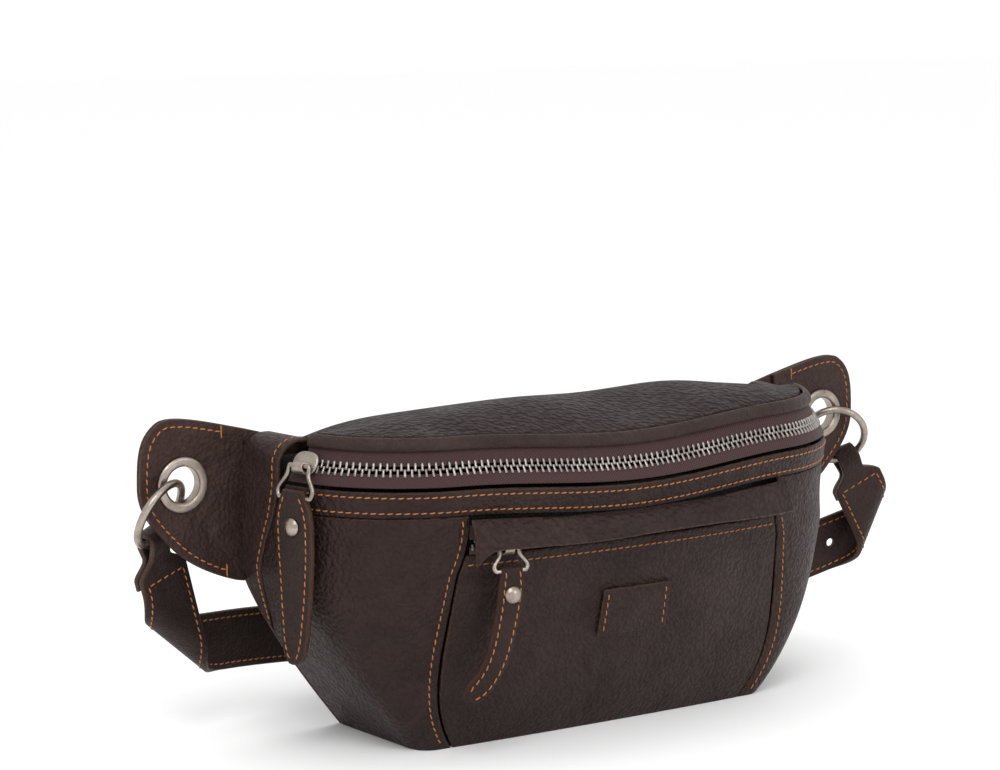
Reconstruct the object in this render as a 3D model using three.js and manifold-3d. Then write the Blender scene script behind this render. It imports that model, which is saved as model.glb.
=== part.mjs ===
// Leather waist pack: a D-shaped pouch with a metal zip round its crown, a zipped front pocket
// under a flap, two eyelet wings and a buckled belt. Millimetres, +Z up, front towards -Y.
// The origin is the middle of the flat base.
import * as THREE from 'three';
import { mergeVertices } from 'three/addons/utils/BufferGeometryUtils.js';
import Module from 'manifold-3d';

const wasm = await Module();
wasm.setup();

// ---- driving dimensions ----
const gap = 0.3;                 // clearance between neighbouring pieces
const leather = 2.0;             // wall leather
const backY = 30;                // outer face of the back
const backLeather = 1.6;
const wingLeather = 1.6;
const baseHalf = 88;             // half width at the base
const bodyHalf = 135;            // half width of the widest section
const bulgeHeight = 75;          // height where the full width is reached
const baseDepth = 60;
const bandDepth = 85.5;          // depth at the lower edge of the zip band
const baseCorner = 10;           // plan radius of the front corners at the base
const bandCorner = 63;           // the same under the zip
const railHalf = 136;
const railDepth = 90;
const railCorner = 65.1;
const cornerShare = 0.51;        // share of half the path that is the front arc
const pocketShare = 0.475;       // path station of the pocket's side seams
const chainEndHeight = 117.5;
const chainDip = 4;              // the chain sags this much at the middle of the front
const chainInset = 6;            // chain centre inside the rail line
const tapeLean = 30;             // degrees the zip leans back from upright
const tapeReach = 8.4;           // visible tape on each side of the chain
const bandDrop = 18.5;           // chain centre down to the band's lower edge
const bandTop = 8.0;             // chain centre down to the band's upper edge
const crown = 10.5;              // rise of the top panel
const hingeHeight = 121.3;       // crease where the top panel meets the back
const wingReach = 183;           // tip of a wing
const eyeletX = 164.3;
const eyeletZ = 108.5;
const eyeletHole = 7.3;
const eyeletRim = 11.3;
const ringRadius = 14;           // to the middle of the wire
const ringWire = 1.65;
const ringTilt = 41;             // degrees between a ring and its wing
const strapWidth = 25;
const strapThick = 2.6;
const beltTurn = 15;             // degrees the belt turns forward at each side
const beltStraight = 131;        // half width of the curved run behind the bag
const sliderStation = 70.5;      // degrees round the left corner where the slider is parked

const colours = {
  leather: [0x3b3130, 0.55, 0],
  tape: [0x412f31, 0.85, 0],
  lining: [0x2a2523, 0.9, 0],
  teeth: [0xc9c4bd, 0.3, 1],
  nickel: [0x9a8d80, 0.35, 1],
};

const rad = THREE.MathUtils.degToRad;
const mix = THREE.MathUtils.lerp;
const vec = (x, y, z) => new THREE.Vector3(x, y, z);
const ease = (t) => THREE.MathUtils.smoothstep(t, 0, 1);
const part = new THREE.Group();

function add(name, look, geometry) {
  const [color, roughness, metalness] = colours[look];
  const mesh = new THREE.Mesh(geometry, new THREE.MeshStandardMaterial({ color, roughness, metalness }));
  mesh.name = name;
  part.add(mesh);
  return mesh;
}

// ---- closed solids ----
function welded(geometry) {
  const bare = geometry.index ? geometry.toNonIndexed() : geometry.clone();
  bare.deleteAttribute('normal');
  bare.deleteAttribute('uv');
  return mergeVertices(bare, 1e-4);
}

function signedVolume(geometry) {
  const point = geometry.attributes.position;
  const index = geometry.index;
  const [a, b, c] = [vec(), vec(), vec()];
  let sum = 0;
  for (let i = 0; i < index.count; i += 3) {
    a.fromBufferAttribute(point, index.getX(i));
    b.fromBufferAttribute(point, index.getX(i + 1));
    c.fromBufferAttribute(point, index.getX(i + 2));
    sum += a.dot(b.cross(c)) / 6;
  }
  return sum;
}

function facingOut(geometry) {
  if (signedVolume(geometry) >= 0) return geometry;
  const flipped = geometry.clone();
  const order = Array.from(geometry.index.array);
  for (let i = 0; i < order.length; i += 3) order.splice(i + 1, 2, order[i + 2], order[i + 1]);
  flipped.setIndex(order);
  return flipped;
}

// A box of nu x nv x nw cells whose corners (u, v, w in 0..1) are carried to shape(u, v, w).
function bent(nu, nv, nw, shape) {
  const box = new THREE.BoxGeometry(1, 1, 1, nu, nv, nw);
  const point = box.attributes.position;
  for (let i = 0; i < point.count; i++) {
    const to = shape(point.getX(i) + 0.5, point.getY(i) + 0.5, point.getZ(i) + 0.5);
    point.setXYZ(i, to.x, to.y, to.z);
  }
  return facingOut(welded(box));
}

const placed = (geometry, matrix) => facingOut(welded(geometry.clone().applyMatrix4(matrix)));
const mirrored = (geometry) => placed(geometry, new THREE.Matrix4().makeScale(-1, 1, 1));

function solid(geometry) {
  const mesh = welded(geometry);
  return new wasm.Manifold(new wasm.Mesh({
    numProp: 3,
    vertProperties: new Float32Array(mesh.attributes.position.array),
    triVerts: new Uint32Array(mesh.index.array),
  }));
}

function surface(body) {
  const mesh = body.getMesh();
  const geometry = new THREE.BufferGeometry();
  geometry.setAttribute('position', new THREE.BufferAttribute(new Float32Array(mesh.vertProperties), 3));
  geometry.setIndex(Array.from(mesh.triVerts));
  return geometry;
}

const cut = (geometry, ...tools) => {
  const left = tools.reduce((body, tool) => body.subtract(solid(tool)), solid(geometry));
  return surface(left);
};
const join = (...pieces) => surface(pieces.map(solid).reduce((body, p) => body.add(p)));

function cylinder(radius, length, axis, centre, sides = 24) {
  const rod = new THREE.CylinderGeometry(radius, radius, length, sides);
  const turn = new THREE.Quaternion().setFromUnitVectors(vec(0, 1, 0), axis.clone().normalize());
  return placed(rod, new THREE.Matrix4().compose(centre, turn, vec(1, 1, 1)));
}

const block = (size, centre) => welded(new THREE.BoxGeometry(size.x, size.y, size.z)
  .translate(centre.x, centre.y, centre.z));

// An outline drawn in the x-z plane, given thickness from front to rear along +Y.
function upright(shape, front, rear) {
  const options = { depth: rear - front, bevelEnabled: false, curveSegments: 8 };
  const slab = new THREE.ExtrudeGeometry(shape, options);
  return placed(slab, new THREE.Matrix4().makeRotationX(Math.PI / 2).setPosition(0, rear, 0));
}

// ---- plan of the pouch ----
// A section is two flat-ended quarter-like corners joined by a shallow front arc.
function section(half, depth, corner, bow, end) {
  const centreX = half - corner;
  const centreY = backY - depth + corner + centreX * Math.tan(rad(bow / 2));
  return { half, corner, centreX, centreY, bow, end };
}

function sectionAt(z) {
  const rise = 1 - Math.pow(1 - Math.min(z / bulgeHeight, 1), 1.7);
  const up = Math.min(z / 95, 1);
  return section(
    mix(baseHalf, bodyHalf, rise),
    mix(baseDepth, bandDepth, Math.pow(up, 0.85)),
    mix(baseCorner, bandCorner, ease(up)),
    mix(2, 10, up),
    mix(90, 80, up),
  );
}

const rail = section(railHalf, railDepth, railCorner, 10, 80);

// station: 0 at the middle of the front, +-1 where the corner ends, +-1.2 at the back.
function planPoint(station, plan, inset = 0) {
  const side = Math.sign(station) || 1;
  const way = Math.abs(station);
  const reach = plan.corner - inset;
  let angle = rad(plan.bow) * way / cornerShare;
  let x;
  let y;
  if (way <= cornerShare) {
    const big = plan.corner + plan.centreX / Math.sin(rad(plan.bow));
    x = (big - inset) * Math.sin(angle);
    y = plan.centreY + plan.centreX / Math.tan(rad(plan.bow)) - (big - inset) * Math.cos(angle);
  } else {
    const turn = Math.min((way - cornerShare) / (1 - cornerShare), 1);
    angle = rad(mix(plan.bow, plan.end, turn));
    x = plan.centreX + reach * Math.sin(angle);
    y = plan.centreY - reach * Math.cos(angle);
    if (way > 1) {
      const back = (way - 1) / 0.2;
      angle = Math.PI / 2;
      x = mix(x, plan.half + 3 - inset, back);
      y = mix(y, backY - backLeather - gap, back);
    }
  }
  return { x: side * x, y, outX: side * Math.sin(angle), outY: -Math.cos(angle) };
}

function chainHeight(station) {
  const way = Math.min(Math.abs(station) / cornerShare, 1);
  return chainEndHeight - chainDip * Math.cos(way * Math.PI / 2) ** 2;
}

// A strip along the zip: across runs up the slope, out stands off it.
function zipPoint(station, across, out, extra = 0) {
  const spot = planPoint(station, rail, chainInset + extra);
  const lean = rad(tapeLean);
  const level = out * Math.cos(lean) - across * Math.sin(lean);
  const rise = out * Math.sin(lean) + across * Math.cos(lean);
  return vec(spot.x + level * spot.outX, spot.y + level * spot.outY, chainHeight(station) + rise);
}

function zipStrip(steps, from, to, low, high, under, over) {
  return bent(steps, 1, 1, (u, v, w) => zipPoint(mix(from, to, u), mix(low, high, v), mix(under, over, w)));
}

// ---- pouch walls ----
const bandFoot = (station) => chainHeight(station) - bandDrop;
const seamStation = (z) => 1 + 0.2 * Math.pow(THREE.MathUtils.clamp((110 - z) / 66, 0, 1), 1.3);
const wallPoint = (station, z, inset) => {
  const spot = planPoint(station, sectionAt(z));
  return vec(spot.x - inset * spot.outX, spot.y - inset * spot.outY, z);
};

const frontPanel = bent(15, 10, 1, (u, v, w) => {
  const z = v * (bandFoot(-0.7) - gap);
  const station = -mix(pocketShare + 0.003, Math.min(seamStation(z), 1.199), u);
  const top = bandFoot(station) - gap;
  return wallPoint(station, v * top, mix(leather, 0, w));
});
add('front_panel_left', 'leather', frontPanel);
add('front_panel_right', 'leather', mirrored(frontPanel));

const base = bent(28, 1, 1, (u, v, w) => {
  const station = mix(-1.19, 1.19, u);
  const footPlan = section(baseHalf - leather - gap, baseDepth - leather - gap, baseCorner, 2, 90);
  const rim = planPoint(station, footPlan);
  return vec(rim.x, mix(backY - backLeather - gap, rim.y, v), mix(0, leather, w));
});
add('base_panel', 'leather', base);

// pocket: an outer front, and the wall of the main pouch behind it
const pocketDepth = 12;
const pocketTop = 82.2;
const pocketFront = bent(12, 8, 1, (u, v, w) => {
  const station = mix(-pocketShare, pocketShare, u);
  return wallPoint(station, v * pocketTop, mix(leather, 0, w));
});
add('pocket_front', 'leather', pocketFront);

const pocketBack = bent(12, 6, 1, (u, v, w) => {
  const station = mix(-pocketShare + 0.02, pocketShare - 0.02, u);
  const z = mix(leather + gap, bandFoot(station) - gap - 1, v);
  return wallPoint(station, z, mix(pocketDepth + 1.2, pocketDepth, w));
});
add('pocket_back', 'lining', pocketBack);

// ---- zip band, tapes, teeth and folded lip ----
const bandShape = (from, to) => bent(44, 2, 1, (u, v, w) => {
  const station = mix(from, to, u);
  const low = planPoint(station, sectionAt(95));
  const high = planPoint(station, rail, 1.6);
  const inset = mix(leather, 0, w);
  const z = mix(bandFoot(station), chainHeight(station) - bandTop, v);
  return vec(
    mix(low.x, high.x, v) - inset * high.outX,
    mix(low.y, high.y, v) - inset * high.outY,
    z,
  );
});
add('zip_band', 'leather', bandShape(-0.995, 0.995));

const teethGap = 0.45;           // half the slit between the two rows
const teethWidth = 3.0;
const tapeHalf = 0.4;
const lidEnd = 0.955;
const tapeStart = teethGap + teethWidth + gap;
const frontEnd = 0.985;
const frontTape = zipStrip(44, -frontEnd, frontEnd, -tapeReach + 1.0, -tapeStart, -tapeHalf, tapeHalf);
add('front_tape', 'tape', frontTape);
add('front_teeth', 'teeth', zipStrip(44, -frontEnd, frontEnd, -teethGap - teethWidth, -teethGap, -1.3, 1.5));
add('rear_tape', 'tape', zipStrip(44, -lidEnd, lidEnd, tapeStart, tapeReach + 2, -tapeHalf, tapeHalf));
add('rear_teeth', 'teeth', zipStrip(44, -lidEnd, lidEnd, teethGap, teethGap + teethWidth, -1.3, 1.5));
const lip = zipStrip(44, -lidEnd, lidEnd, tapeReach - 0.6, tapeReach + 4.2, tapeHalf + gap, tapeHalf + 2.6);
add('top_lip', 'leather', lip);

// ---- top panel: a crowned sheet from the back crease to the lip ----
const lidBackHalf = 113;
const topPanel = bent(22, 7, 1, (u, v, w) => {
  const station = mix(-lidEnd + 0.01, lidEnd - 0.01, u);
  const front = zipPoint(station, tapeReach + 5.2, -0.3);
  const back = vec(mix(-lidBackHalf, lidBackHalf, u), backY - backLeather - gap, hingeHeight + 0.6);
  const side = Math.abs(2 * u - 1);
  const swell = crown * 2.6 * Math.sqrt(v) * (1 - v) * (1 - side ** 4);
  const spot = back.clone().lerp(front, v);
  spot.x = mix(back.x, front.x, v ** 3);
  spot.z += swell - mix(leather, 0, w);
  return spot;
});
add('top_panel', 'leather', topPanel);

// ---- side pieces: wall, rolled top corner and the front layer of the wing ----
const rollStart = 116;
const rollRadius = 10.5;
const rollFlat = 3.5;
const sideFoot = 47;
const sideWall = bent(6, 14, 1, (u, v, w) => {
  const reach = rollStart - sideFoot;
  const curl = rollRadius * Math.PI / 2;
  const along = v * (reach + curl + rollFlat);
  const z = sideFoot + Math.min(along, reach);
  const station = -mix(Math.min(seamStation(z), 1.19) + 0.006, 1.2, u);
  const inset = mix(leather, 0, w);
  const spot = wallPoint(station, Math.min(z, 95), 0);
  const roll = Math.min(Math.max(along - reach, 0) / rollRadius, Math.PI / 2);
  const flat = Math.max(along - reach - curl, 0);
  const hub = spot.x + rollRadius;
  return vec(
    hub - (rollRadius - inset) * Math.cos(roll) + flat,
    spot.y,
    z + (rollRadius - inset) * Math.sin(roll),
  );
});

function wingOutline(root) {
  const shape = new THREE.Shape();
  shape.moveTo(-root, 66.4);
  shape.lineTo(-140, 67);
  shape.bezierCurveTo(-152, 70.5, -163, 76.5, -170, 84.5);
  shape.bezierCurveTo(-177.5, 92, -wingReach, 99, -wingReach, 108);
  shape.bezierCurveTo(-wingReach, 122, -182, 129, -174, 134);
  shape.bezierCurveTo(-168, 137, -152, 132.5, -136, 128.5);
  shape.lineTo(-root, 127.8);
  return shape;
}
const eyeletAxis = vec(0, 1, 0);
const eyeletBore = cylinder(eyeletHole + 0.9, 20, eyeletAxis, vec(-eyeletX, backY, eyeletZ), 28);
const wingBackY = backY - backLeather - gap;
const wingFront = upright(wingOutline(136.6), wingBackY - wingLeather, wingBackY);
const sidePiece = cut(join(sideWall, wingFront), eyeletBore);
add('side_panel_left', 'leather', sidePiece);
add('side_panel_right', 'leather', mirrored(sidePiece));

// ---- back panel with the rear layer of both wings ----
function backOutline() {
  const shape = new THREE.Shape();
  const left = [];
  for (let z = 0; z <= 66; z += 6) left.push([-sectionAt(z).half - 3, z]);
  shape.moveTo(left[0][0], left[0][1]);
  left.slice(1).forEach(([x, z]) => shape.lineTo(x, z));
  shape.bezierCurveTo(-152, 70.5, -163, 76.5, -170, 84.5);
  shape.bezierCurveTo(-177.5, 92, -wingReach, 99, -wingReach, 108);
  shape.bezierCurveTo(-wingReach, 122, -182, 129, -174, 134);
  shape.bezierCurveTo(-168, 137, -152, 132.5, -136, 128.5);
  shape.bezierCurveTo(-126, 126, -118, 122.5, -100, 121.9);
  shape.lineTo(0, 121.9);
  shape.lineTo(0, 0);
  return shape;
}
const backHalf = upright(backOutline(), backY - backLeather, backY);
const leftBack = cut(backHalf, eyeletBore);
add('back_panel', 'leather', join(leftBack, mirrored(leftBack)));

// ---- lining of the main compartment ----
const liningSkin = 0.8;
const liningFoot = leather + gap;
const liningTop = 103;
const liningFront = bent(56, 14, 1, (u, v, w) => {
  const station = mix(-1.18, 1.18, u);
  const besidePocket = ease(THREE.MathUtils.clamp((Math.abs(station) - 0.5) / 0.08, 0, 1));
  const inset = mix(pocketDepth + 2, leather + 2.5 * gap, besidePocket);
  return wallPoint(station, mix(liningFoot, liningTop, v), inset + mix(liningSkin, 0, w));
});
add('lining_front', 'lining', liningFront);

function liningOutline() {
  const shape = new THREE.Shape();
  const edge = (z) => sectionAt(z).half + 3 - leather - 2 * gap;
  const heights = [3, 10, 20, 32, 46, 60, 75, 116];
  shape.moveTo(-edge(heights[0]), heights[0]);
  heights.slice(1).forEach((z) => shape.lineTo(-edge(z), z));
  heights.reverse().forEach((z) => shape.lineTo(edge(z), z));
  return shape;
}
const liningBackY = backY - backLeather - gap;
const liningBack = upright(liningOutline(), liningBackY - wingLeather - gap, liningBackY - wingLeather + 0.3);
add('lining_back', 'lining', liningBack);

// ---- pocket zip, straight in height and curved in plan ----
const pocketChain = 87;
const pocketSunk = 1.5;          // tape plane behind the pocket's outer face
function pocketPoint(station, z, out) {
  const spot = planPoint(station, sectionAt(pocketChain), pocketSunk - out);
  return vec(spot.x, spot.y, z);
}
const pocketStrip = (low, high, under, over) => bent(14, 1, 1, (u, v, w) => (
  pocketPoint(mix(-0.47, 0.47, u), pocketChain + mix(low, high, v), mix(under, over, w))));
const rowSlit = 0.4;
const rowWidth = 2.5;
add('pocket_tape_lower', 'tape', pocketStrip(-4.4, -rowSlit - rowWidth - gap, -0.4, 0.4));
add('pocket_teeth_lower', 'teeth', pocketStrip(-rowSlit - rowWidth, -rowSlit, -1.0, 1.1));
add('pocket_teeth_upper', 'teeth', pocketStrip(rowSlit, rowSlit + rowWidth, -1.0, 1.1));
add('pocket_tape_upper', 'tape', pocketStrip(rowSlit + rowWidth + gap, 7.2, -0.4, 0.4));

// ---- pocket flap: hangs from under the band and stands off the slider ----
const flapFoot = 85.2;
const flapStand = 5.6;
const flap = bent(16, 5, 1, (u, v, w) => {
  const station = mix(-pocketShare - 0.005, pocketShare + 0.012, u);
  const top = bandFoot(station) - 1.2;
  const stand = 0.5 + (flapStand - 0.5) * Math.pow(1 - v, 0.7);
  const spot = planPoint(station, sectionAt(95));
  const out = stand + mix(0, leather, w);
  return vec(spot.x + out * spot.outX, spot.y + out * spot.outY, mix(flapFoot, top, v));
});
add('pocket_flap', 'leather', flap);

// a small plain leather patch sewn on the pocket
const patchMiddle = 0.018;
const patch = bent(6, 4, 1, (u, v, w) => wallPoint(
  mix(patchMiddle - 0.1, patchMiddle + 0.1, u),
  mix(42, 62, v),
  -mix(gap, gap + 1.6, w),
));
add('pocket_patch', 'leather', patch);

// ---- sliders ----
// Local axes: x along the chain, y up across it, z out of it.
function sliderBody(size) {
  const long = 6.5 * size;
  const wide = 5.2 * size;
  const inner = block(vec(2 * long, 2 * wide, 1.1), vec(0, 0, -2.65));
  const outer = block(vec(2 * long, wide + 0.15, 1.2), vec(0, (0.15 - wide) / 2, 2.7));
  const web = block(vec(6 * size, 0.3, 5.2), vec(0, 0, 0));
  const arch = block(vec(8 * size, 4.6, 5.2), vec(0, -2.65, 5.4));
  const eye = block(vec(20, 2.8, 2.8), vec(0, -2.65, 5.6));
  return cut(join(inner, outer, web, arch), eye);
}
const pinOut = 5.6;
const pinDown = -2.65;

// A wedge-shaped wire loop hanging from its top bar at the origin, thin along z.
function bail(top, foot, drop) {
  const bar = 0.8;
  const shape = new THREE.Shape([
    new THREE.Vector2(-top, bar), new THREE.Vector2(top, bar),
    new THREE.Vector2(foot, -drop - bar), new THREE.Vector2(-foot, -drop - bar),
  ]);
  shape.holes.push(new THREE.Path([
    new THREE.Vector2(-top + 1.6, -bar), new THREE.Vector2(-foot + 1.6, -drop + bar),
    new THREE.Vector2(foot - 1.6, -drop + bar), new THREE.Vector2(top - 1.6, -bar),
  ]));
  const plate = new THREE.ExtrudeGeometry(shape, { depth: 2 * bar, bevelEnabled: false });
  return welded(plate.translate(0, 0, -bar));
}

// A leather tab: narrow loop at the top, widest at the rivet, rounded tip.
const tabThick = 3.8;
const tabLength = 67;
const rivetDrop = 11.5;
function tabOutline() {
  const shape = new THREE.Shape();
  shape.moveTo(-6, 3);
  shape.bezierCurveTo(-6.4, -3, -9.4, -6, -9.4, -12);
  shape.bezierCurveTo(-9.4, -30, -8.6, -48, -6, -tabLength + 6);
  shape.bezierCurveTo(-5, -tabLength - 2, 5, -tabLength - 2, 6, -tabLength + 6);
  shape.bezierCurveTo(8.6, -48, 9.4, -30, 9.4, -12);
  shape.bezierCurveTo(9.4, -6, 6.4, -3, 6, 3);
  return shape;
}
const rivetProfile = [[0, 0.9], [2.4, 0.6], [3.6, 0], [3.6, -0.4], [1.2, -0.4]];
const rivet = (thick) => {
  const half = thick / 2 + 0.4 + gap;
  const front = rivetProfile.map(([r, z]) => new THREE.Vector2(r, z + half));
  const rear = rivetProfile.map(([r, z]) => new THREE.Vector2(r, -z - half)).reverse();
  return new THREE.LatheGeometry([...front, ...rear], 16).rotateX(Math.PI / 2);
};
const tabBore = (shape) => {
  const depth = { depth: tabThick, bevelEnabled: false, curveSegments: 6 };
  const body = welded(new THREE.ExtrudeGeometry(shape, depth).translate(0, 0, -tabThick / 2));
  return cut(body, cylinder(1.5, 60, vec(1, 0, 0), vec(0, 0, 0), 12), rivetHole);
};
const rivetHole = cylinder(1.6, 20, vec(0, 0, 1), vec(0, -rivetDrop, 0), 14);

function frameAt(origin, along, up, out) {
  return new THREE.Matrix4().makeBasis(along, up, out).setPosition(origin);
}

// main slider, parked at the left end of the chain
const parked = rad(sliderStation);
const cornerX = -(railHalf - railCorner);
const cornerY = rail.centreY;
const mainOut = vec(-Math.sin(parked), -Math.cos(parked), 0);
const mainAlong = vec(Math.cos(parked), -Math.sin(parked), 0);
const lift = vec(0, 0, 1);
const lean = rad(tapeLean);
const chainRadius = railCorner - chainInset;
const mainChain = vec(cornerX, cornerY, chainEndHeight).addScaledVector(mainOut, chainRadius);
const mainNormal = mainOut.clone().multiplyScalar(Math.cos(lean)).addScaledVector(lift, Math.sin(lean));
const mainUp = mainNormal.clone().cross(mainAlong);
const mainFrame = frameAt(mainChain, mainAlong, mainUp, mainNormal);
add('main_slider', 'nickel', placed(sliderBody(1), mainFrame));

const mainPin = vec(0, pinDown, pinOut).applyMatrix4(mainFrame);
const bailDrop = 12.2;
const bailSwing = rad(15);
const hang = (out, tilt) => ({
  up: lift.clone().multiplyScalar(Math.cos(tilt)).addScaledVector(out, -Math.sin(tilt)),
  out: out.clone().multiplyScalar(Math.cos(tilt)).addScaledVector(lift, Math.sin(tilt)),
});
const mainHang = hang(mainOut, bailSwing);
const mainBailFrame = frameAt(mainPin, mainAlong, mainHang.up, mainHang.out);
add('main_bail', 'nickel', placed(bail(6.2, 9.6, bailDrop), mainBailFrame));
const mainTabAt = mainPin.clone().addScaledVector(mainHang.up, -bailDrop);
const mainTabFrame = frameAt(mainTabAt, mainAlong, lift, mainOut);
add('main_pull_tab', 'leather', placed(tabBore(tabOutline()), mainTabFrame));
add('main_pull_rivet', 'nickel', placed(
  rivet(tabThick),
  mainTabFrame.clone().multiply(new THREE.Matrix4().makeTranslation(0, -rivetDrop, 0)),
));

// pocket slider, parked near the left end of the pocket zip
const pocketSize = 0.8;
const pocketSection = sectionAt(pocketChain);
const pocketBow = rad(pocketSection.bow);
const pocketRadius = pocketSection.corner + pocketSection.centreX / Math.sin(pocketBow);
const pocketCentreY = pocketSection.centreY + pocketSection.centreX / Math.tan(pocketBow);
const pocketStart = rad(-6.9);
const pocketOut = vec(Math.sin(pocketStart), -Math.cos(pocketStart), 0);
const pocketAlong = vec(Math.cos(pocketStart), Math.sin(pocketStart), 0);
const pocketAt = vec(0, pocketCentreY, pocketChain).addScaledVector(pocketOut, pocketRadius - pocketSunk);
const pocketFrame = frameAt(pocketAt, pocketAlong, lift, pocketOut);
const pocketSliderShape = sliderBody(pocketSize).scale(1, 1, 0.8);
add('pocket_slider', 'nickel', placed(pocketSliderShape, pocketFrame));

const pocketPin = vec(0, pinDown, pinOut * 0.8).applyMatrix4(pocketFrame);
const pocketDrop = 8.5;
const pocketHang = hang(pocketOut, rad(14));
add('pocket_bail', 'nickel', placed(
  bail(5.2, 8, pocketDrop),
  frameAt(pocketPin, pocketAlong, pocketHang.up, pocketHang.out),
));

const pocketTabPath = new THREE.CatmullRomCurve3([
  vec(0, 3, 0), vec(0, -6, 0), vec(-1, -14, 0), vec(-3.4, -25, 0),
  vec(-6.4, -35, 0), vec(-11, -43, 0), vec(-17, -48, 0), vec(-22, -50.5, 0),
]);
const pocketTabThick = 3.6;
const pocketTab = bent(14, 2, 1, (u, v, w) => {
  const spot = pocketTabPath.getPoint(u);
  const way = pocketTabPath.getTangent(u);
  const half = mix(4.4, 5.4, Math.min(1, u * 6)) * Math.sqrt(Math.min(1, (1 - u) * 9 + 0.2)) - 1.2 * u;
  const aside = mix(-half, half, v);
  return vec(spot.x - way.y * aside, spot.y + way.x * aside, mix(-1, 1, w) * pocketTabThick / 2);
});
const pocketTabFrame = frameAt(
  pocketPin.clone().addScaledVector(pocketHang.up, -pocketDrop),
  pocketAlong,
  lift,
  pocketOut,
);
const pocketRivetDrop = 9.5;
add('pocket_pull_tab', 'leather', placed(cut(
  pocketTab,
  cylinder(1.5, 60, vec(1, 0, 0), vec(0, 0, 0), 12),
  cylinder(1.6, 20, vec(0, 0, 1), vec(0, -pocketRivetDrop, 0), 14),
), pocketTabFrame));
add('pocket_pull_rivet', 'nickel', placed(
  rivet(pocketTabThick),
  pocketTabFrame.clone().multiply(new THREE.Matrix4().makeTranslation(0, -pocketRivetDrop, 0)),
));

// ---- eyelets, washers and rings, drawn for the left wing ----
const lathe = (profile, sides) => new THREE.LatheGeometry(
  profile.map(([r, y]) => new THREE.Vector2(r, y)),
  sides,
);
const rimFront = backY - backLeather - gap - wingLeather - gap;
const washerTop = backY + 1.0;
const barrel = eyeletHole + 0.6;
const eyelet = lathe([
  [eyeletHole, 30.3], [eyeletHole, rimFront + 0.3], [eyeletHole + 0.4, rimFront - 0.7],
  [eyeletHole + 1.3, rimFront - 1.2], [eyeletRim - 1.4, rimFront - 1.2], [eyeletRim - 0.4, rimFront - 0.8],
  [eyeletRim, rimFront], [barrel, rimFront], [barrel, washerTop], [eyeletHole + 0.3, washerTop],
  [eyeletHole, 30.3],
], 24);
const washer = lathe([
  [barrel + gap, backY + gap], [eyeletRim - 0.2, backY + gap], [eyeletRim - 0.4, washerTop - 0.3],
  [eyeletRim - 1, washerTop], [barrel + gap, washerTop], [barrel + gap, backY + gap],
], 24);
const eyeletSpot = new THREE.Matrix4().makeTranslation(-eyeletX, 0, eyeletZ);

// The ring stands through the eyelet: reach runs down and out in the wing's plane,
// and the ring's front half leans up and forward.
const reach = vec(-0.66, 0, -0.75).normalize();
const rise = vec(reach.z, 0, -reach.x).multiplyScalar(Math.cos(rad(ringTilt)));
rise.y = -Math.sin(rad(ringTilt));
const ringMiddle = vec(-eyeletX - 0.3, backY - 2, eyeletZ - 0.5).addScaledVector(reach, ringRadius);
const ringAxis = reach.clone().cross(rise).normalize();
const ring = new THREE.TorusGeometry(ringRadius, ringWire, 8, 32);
const ringFrame = new THREE.Matrix4().makeBasis(reach, rise, ringAxis).setPosition(ringMiddle);
const leftPieces = {
  eyelet: ['nickel', placed(eyelet, eyeletSpot)],
  washer: ['nickel', placed(washer, eyeletSpot)],
  ring: ['nickel', placed(ring, ringFrame)],
};
Object.entries(leftPieces).forEach(([name, [look, geometry]]) => {
  add(`${name}_left`, look, geometry);
  add(`${name}_right`, look, mirrored(geometry));
});

// ---- belt ----
// Each strap hangs from its ring in an upright plane, rolls back over a slanting crease
// and runs behind the bag. Both are drawn on the left; the right one is then mirrored.
const toMiddle = vec(Math.cos(rad(beltTurn)), Math.sin(rad(beltTurn)), 0);
const toBack = vec(-toMiddle.y, toMiddle.x, 0);
const layer = (strapThick + gap) / 2;
const loopRadius = ringWire + 1.1 + strapThick / 2;
const loopLength = 9;
const neckHalf = 5.2;
const foldRadius = 6;

const planar = (a, b) => toMiddle.clone().multiplyScalar(a).setZ(b);
const unit = (x, y) => new THREE.Vector2(x, y).normalize();

function strapSide(hangs, leaves, drop) {
  const crease = hangs.clone().add(leaves).normalize();
  const across = new THREE.Vector2(-crease.y, crease.x);
  if (across.dot(hangs) < 0) across.negate();
  const hangs3 = planar(hangs.x, hangs.y);
  const pull = hangs3.clone().addScaledVector(ringAxis, -hangs3.dot(ringAxis)).normalize();
  const pin = ringMiddle.clone().addScaledVector(pull, ringRadius);
  const tangent = ringAxis.clone().cross(pull).normalize();
  if (tangent.dot(planar(-hangs.y, hangs.x)) < 0) tangent.negate();
  return { hangs, leaves, crease, across, pin, drop, tangent };
}
const leftSide = strapSide(unit(0.28, -0.96), unit(0.998, -0.06), 34);
const rightSide = strapSide(unit(-0.45, -0.89), unit(0.95, -0.3), 25);
const beltPlane = leftSide.pin.dot(toBack) - layer + 2 * foldRadius;

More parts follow.
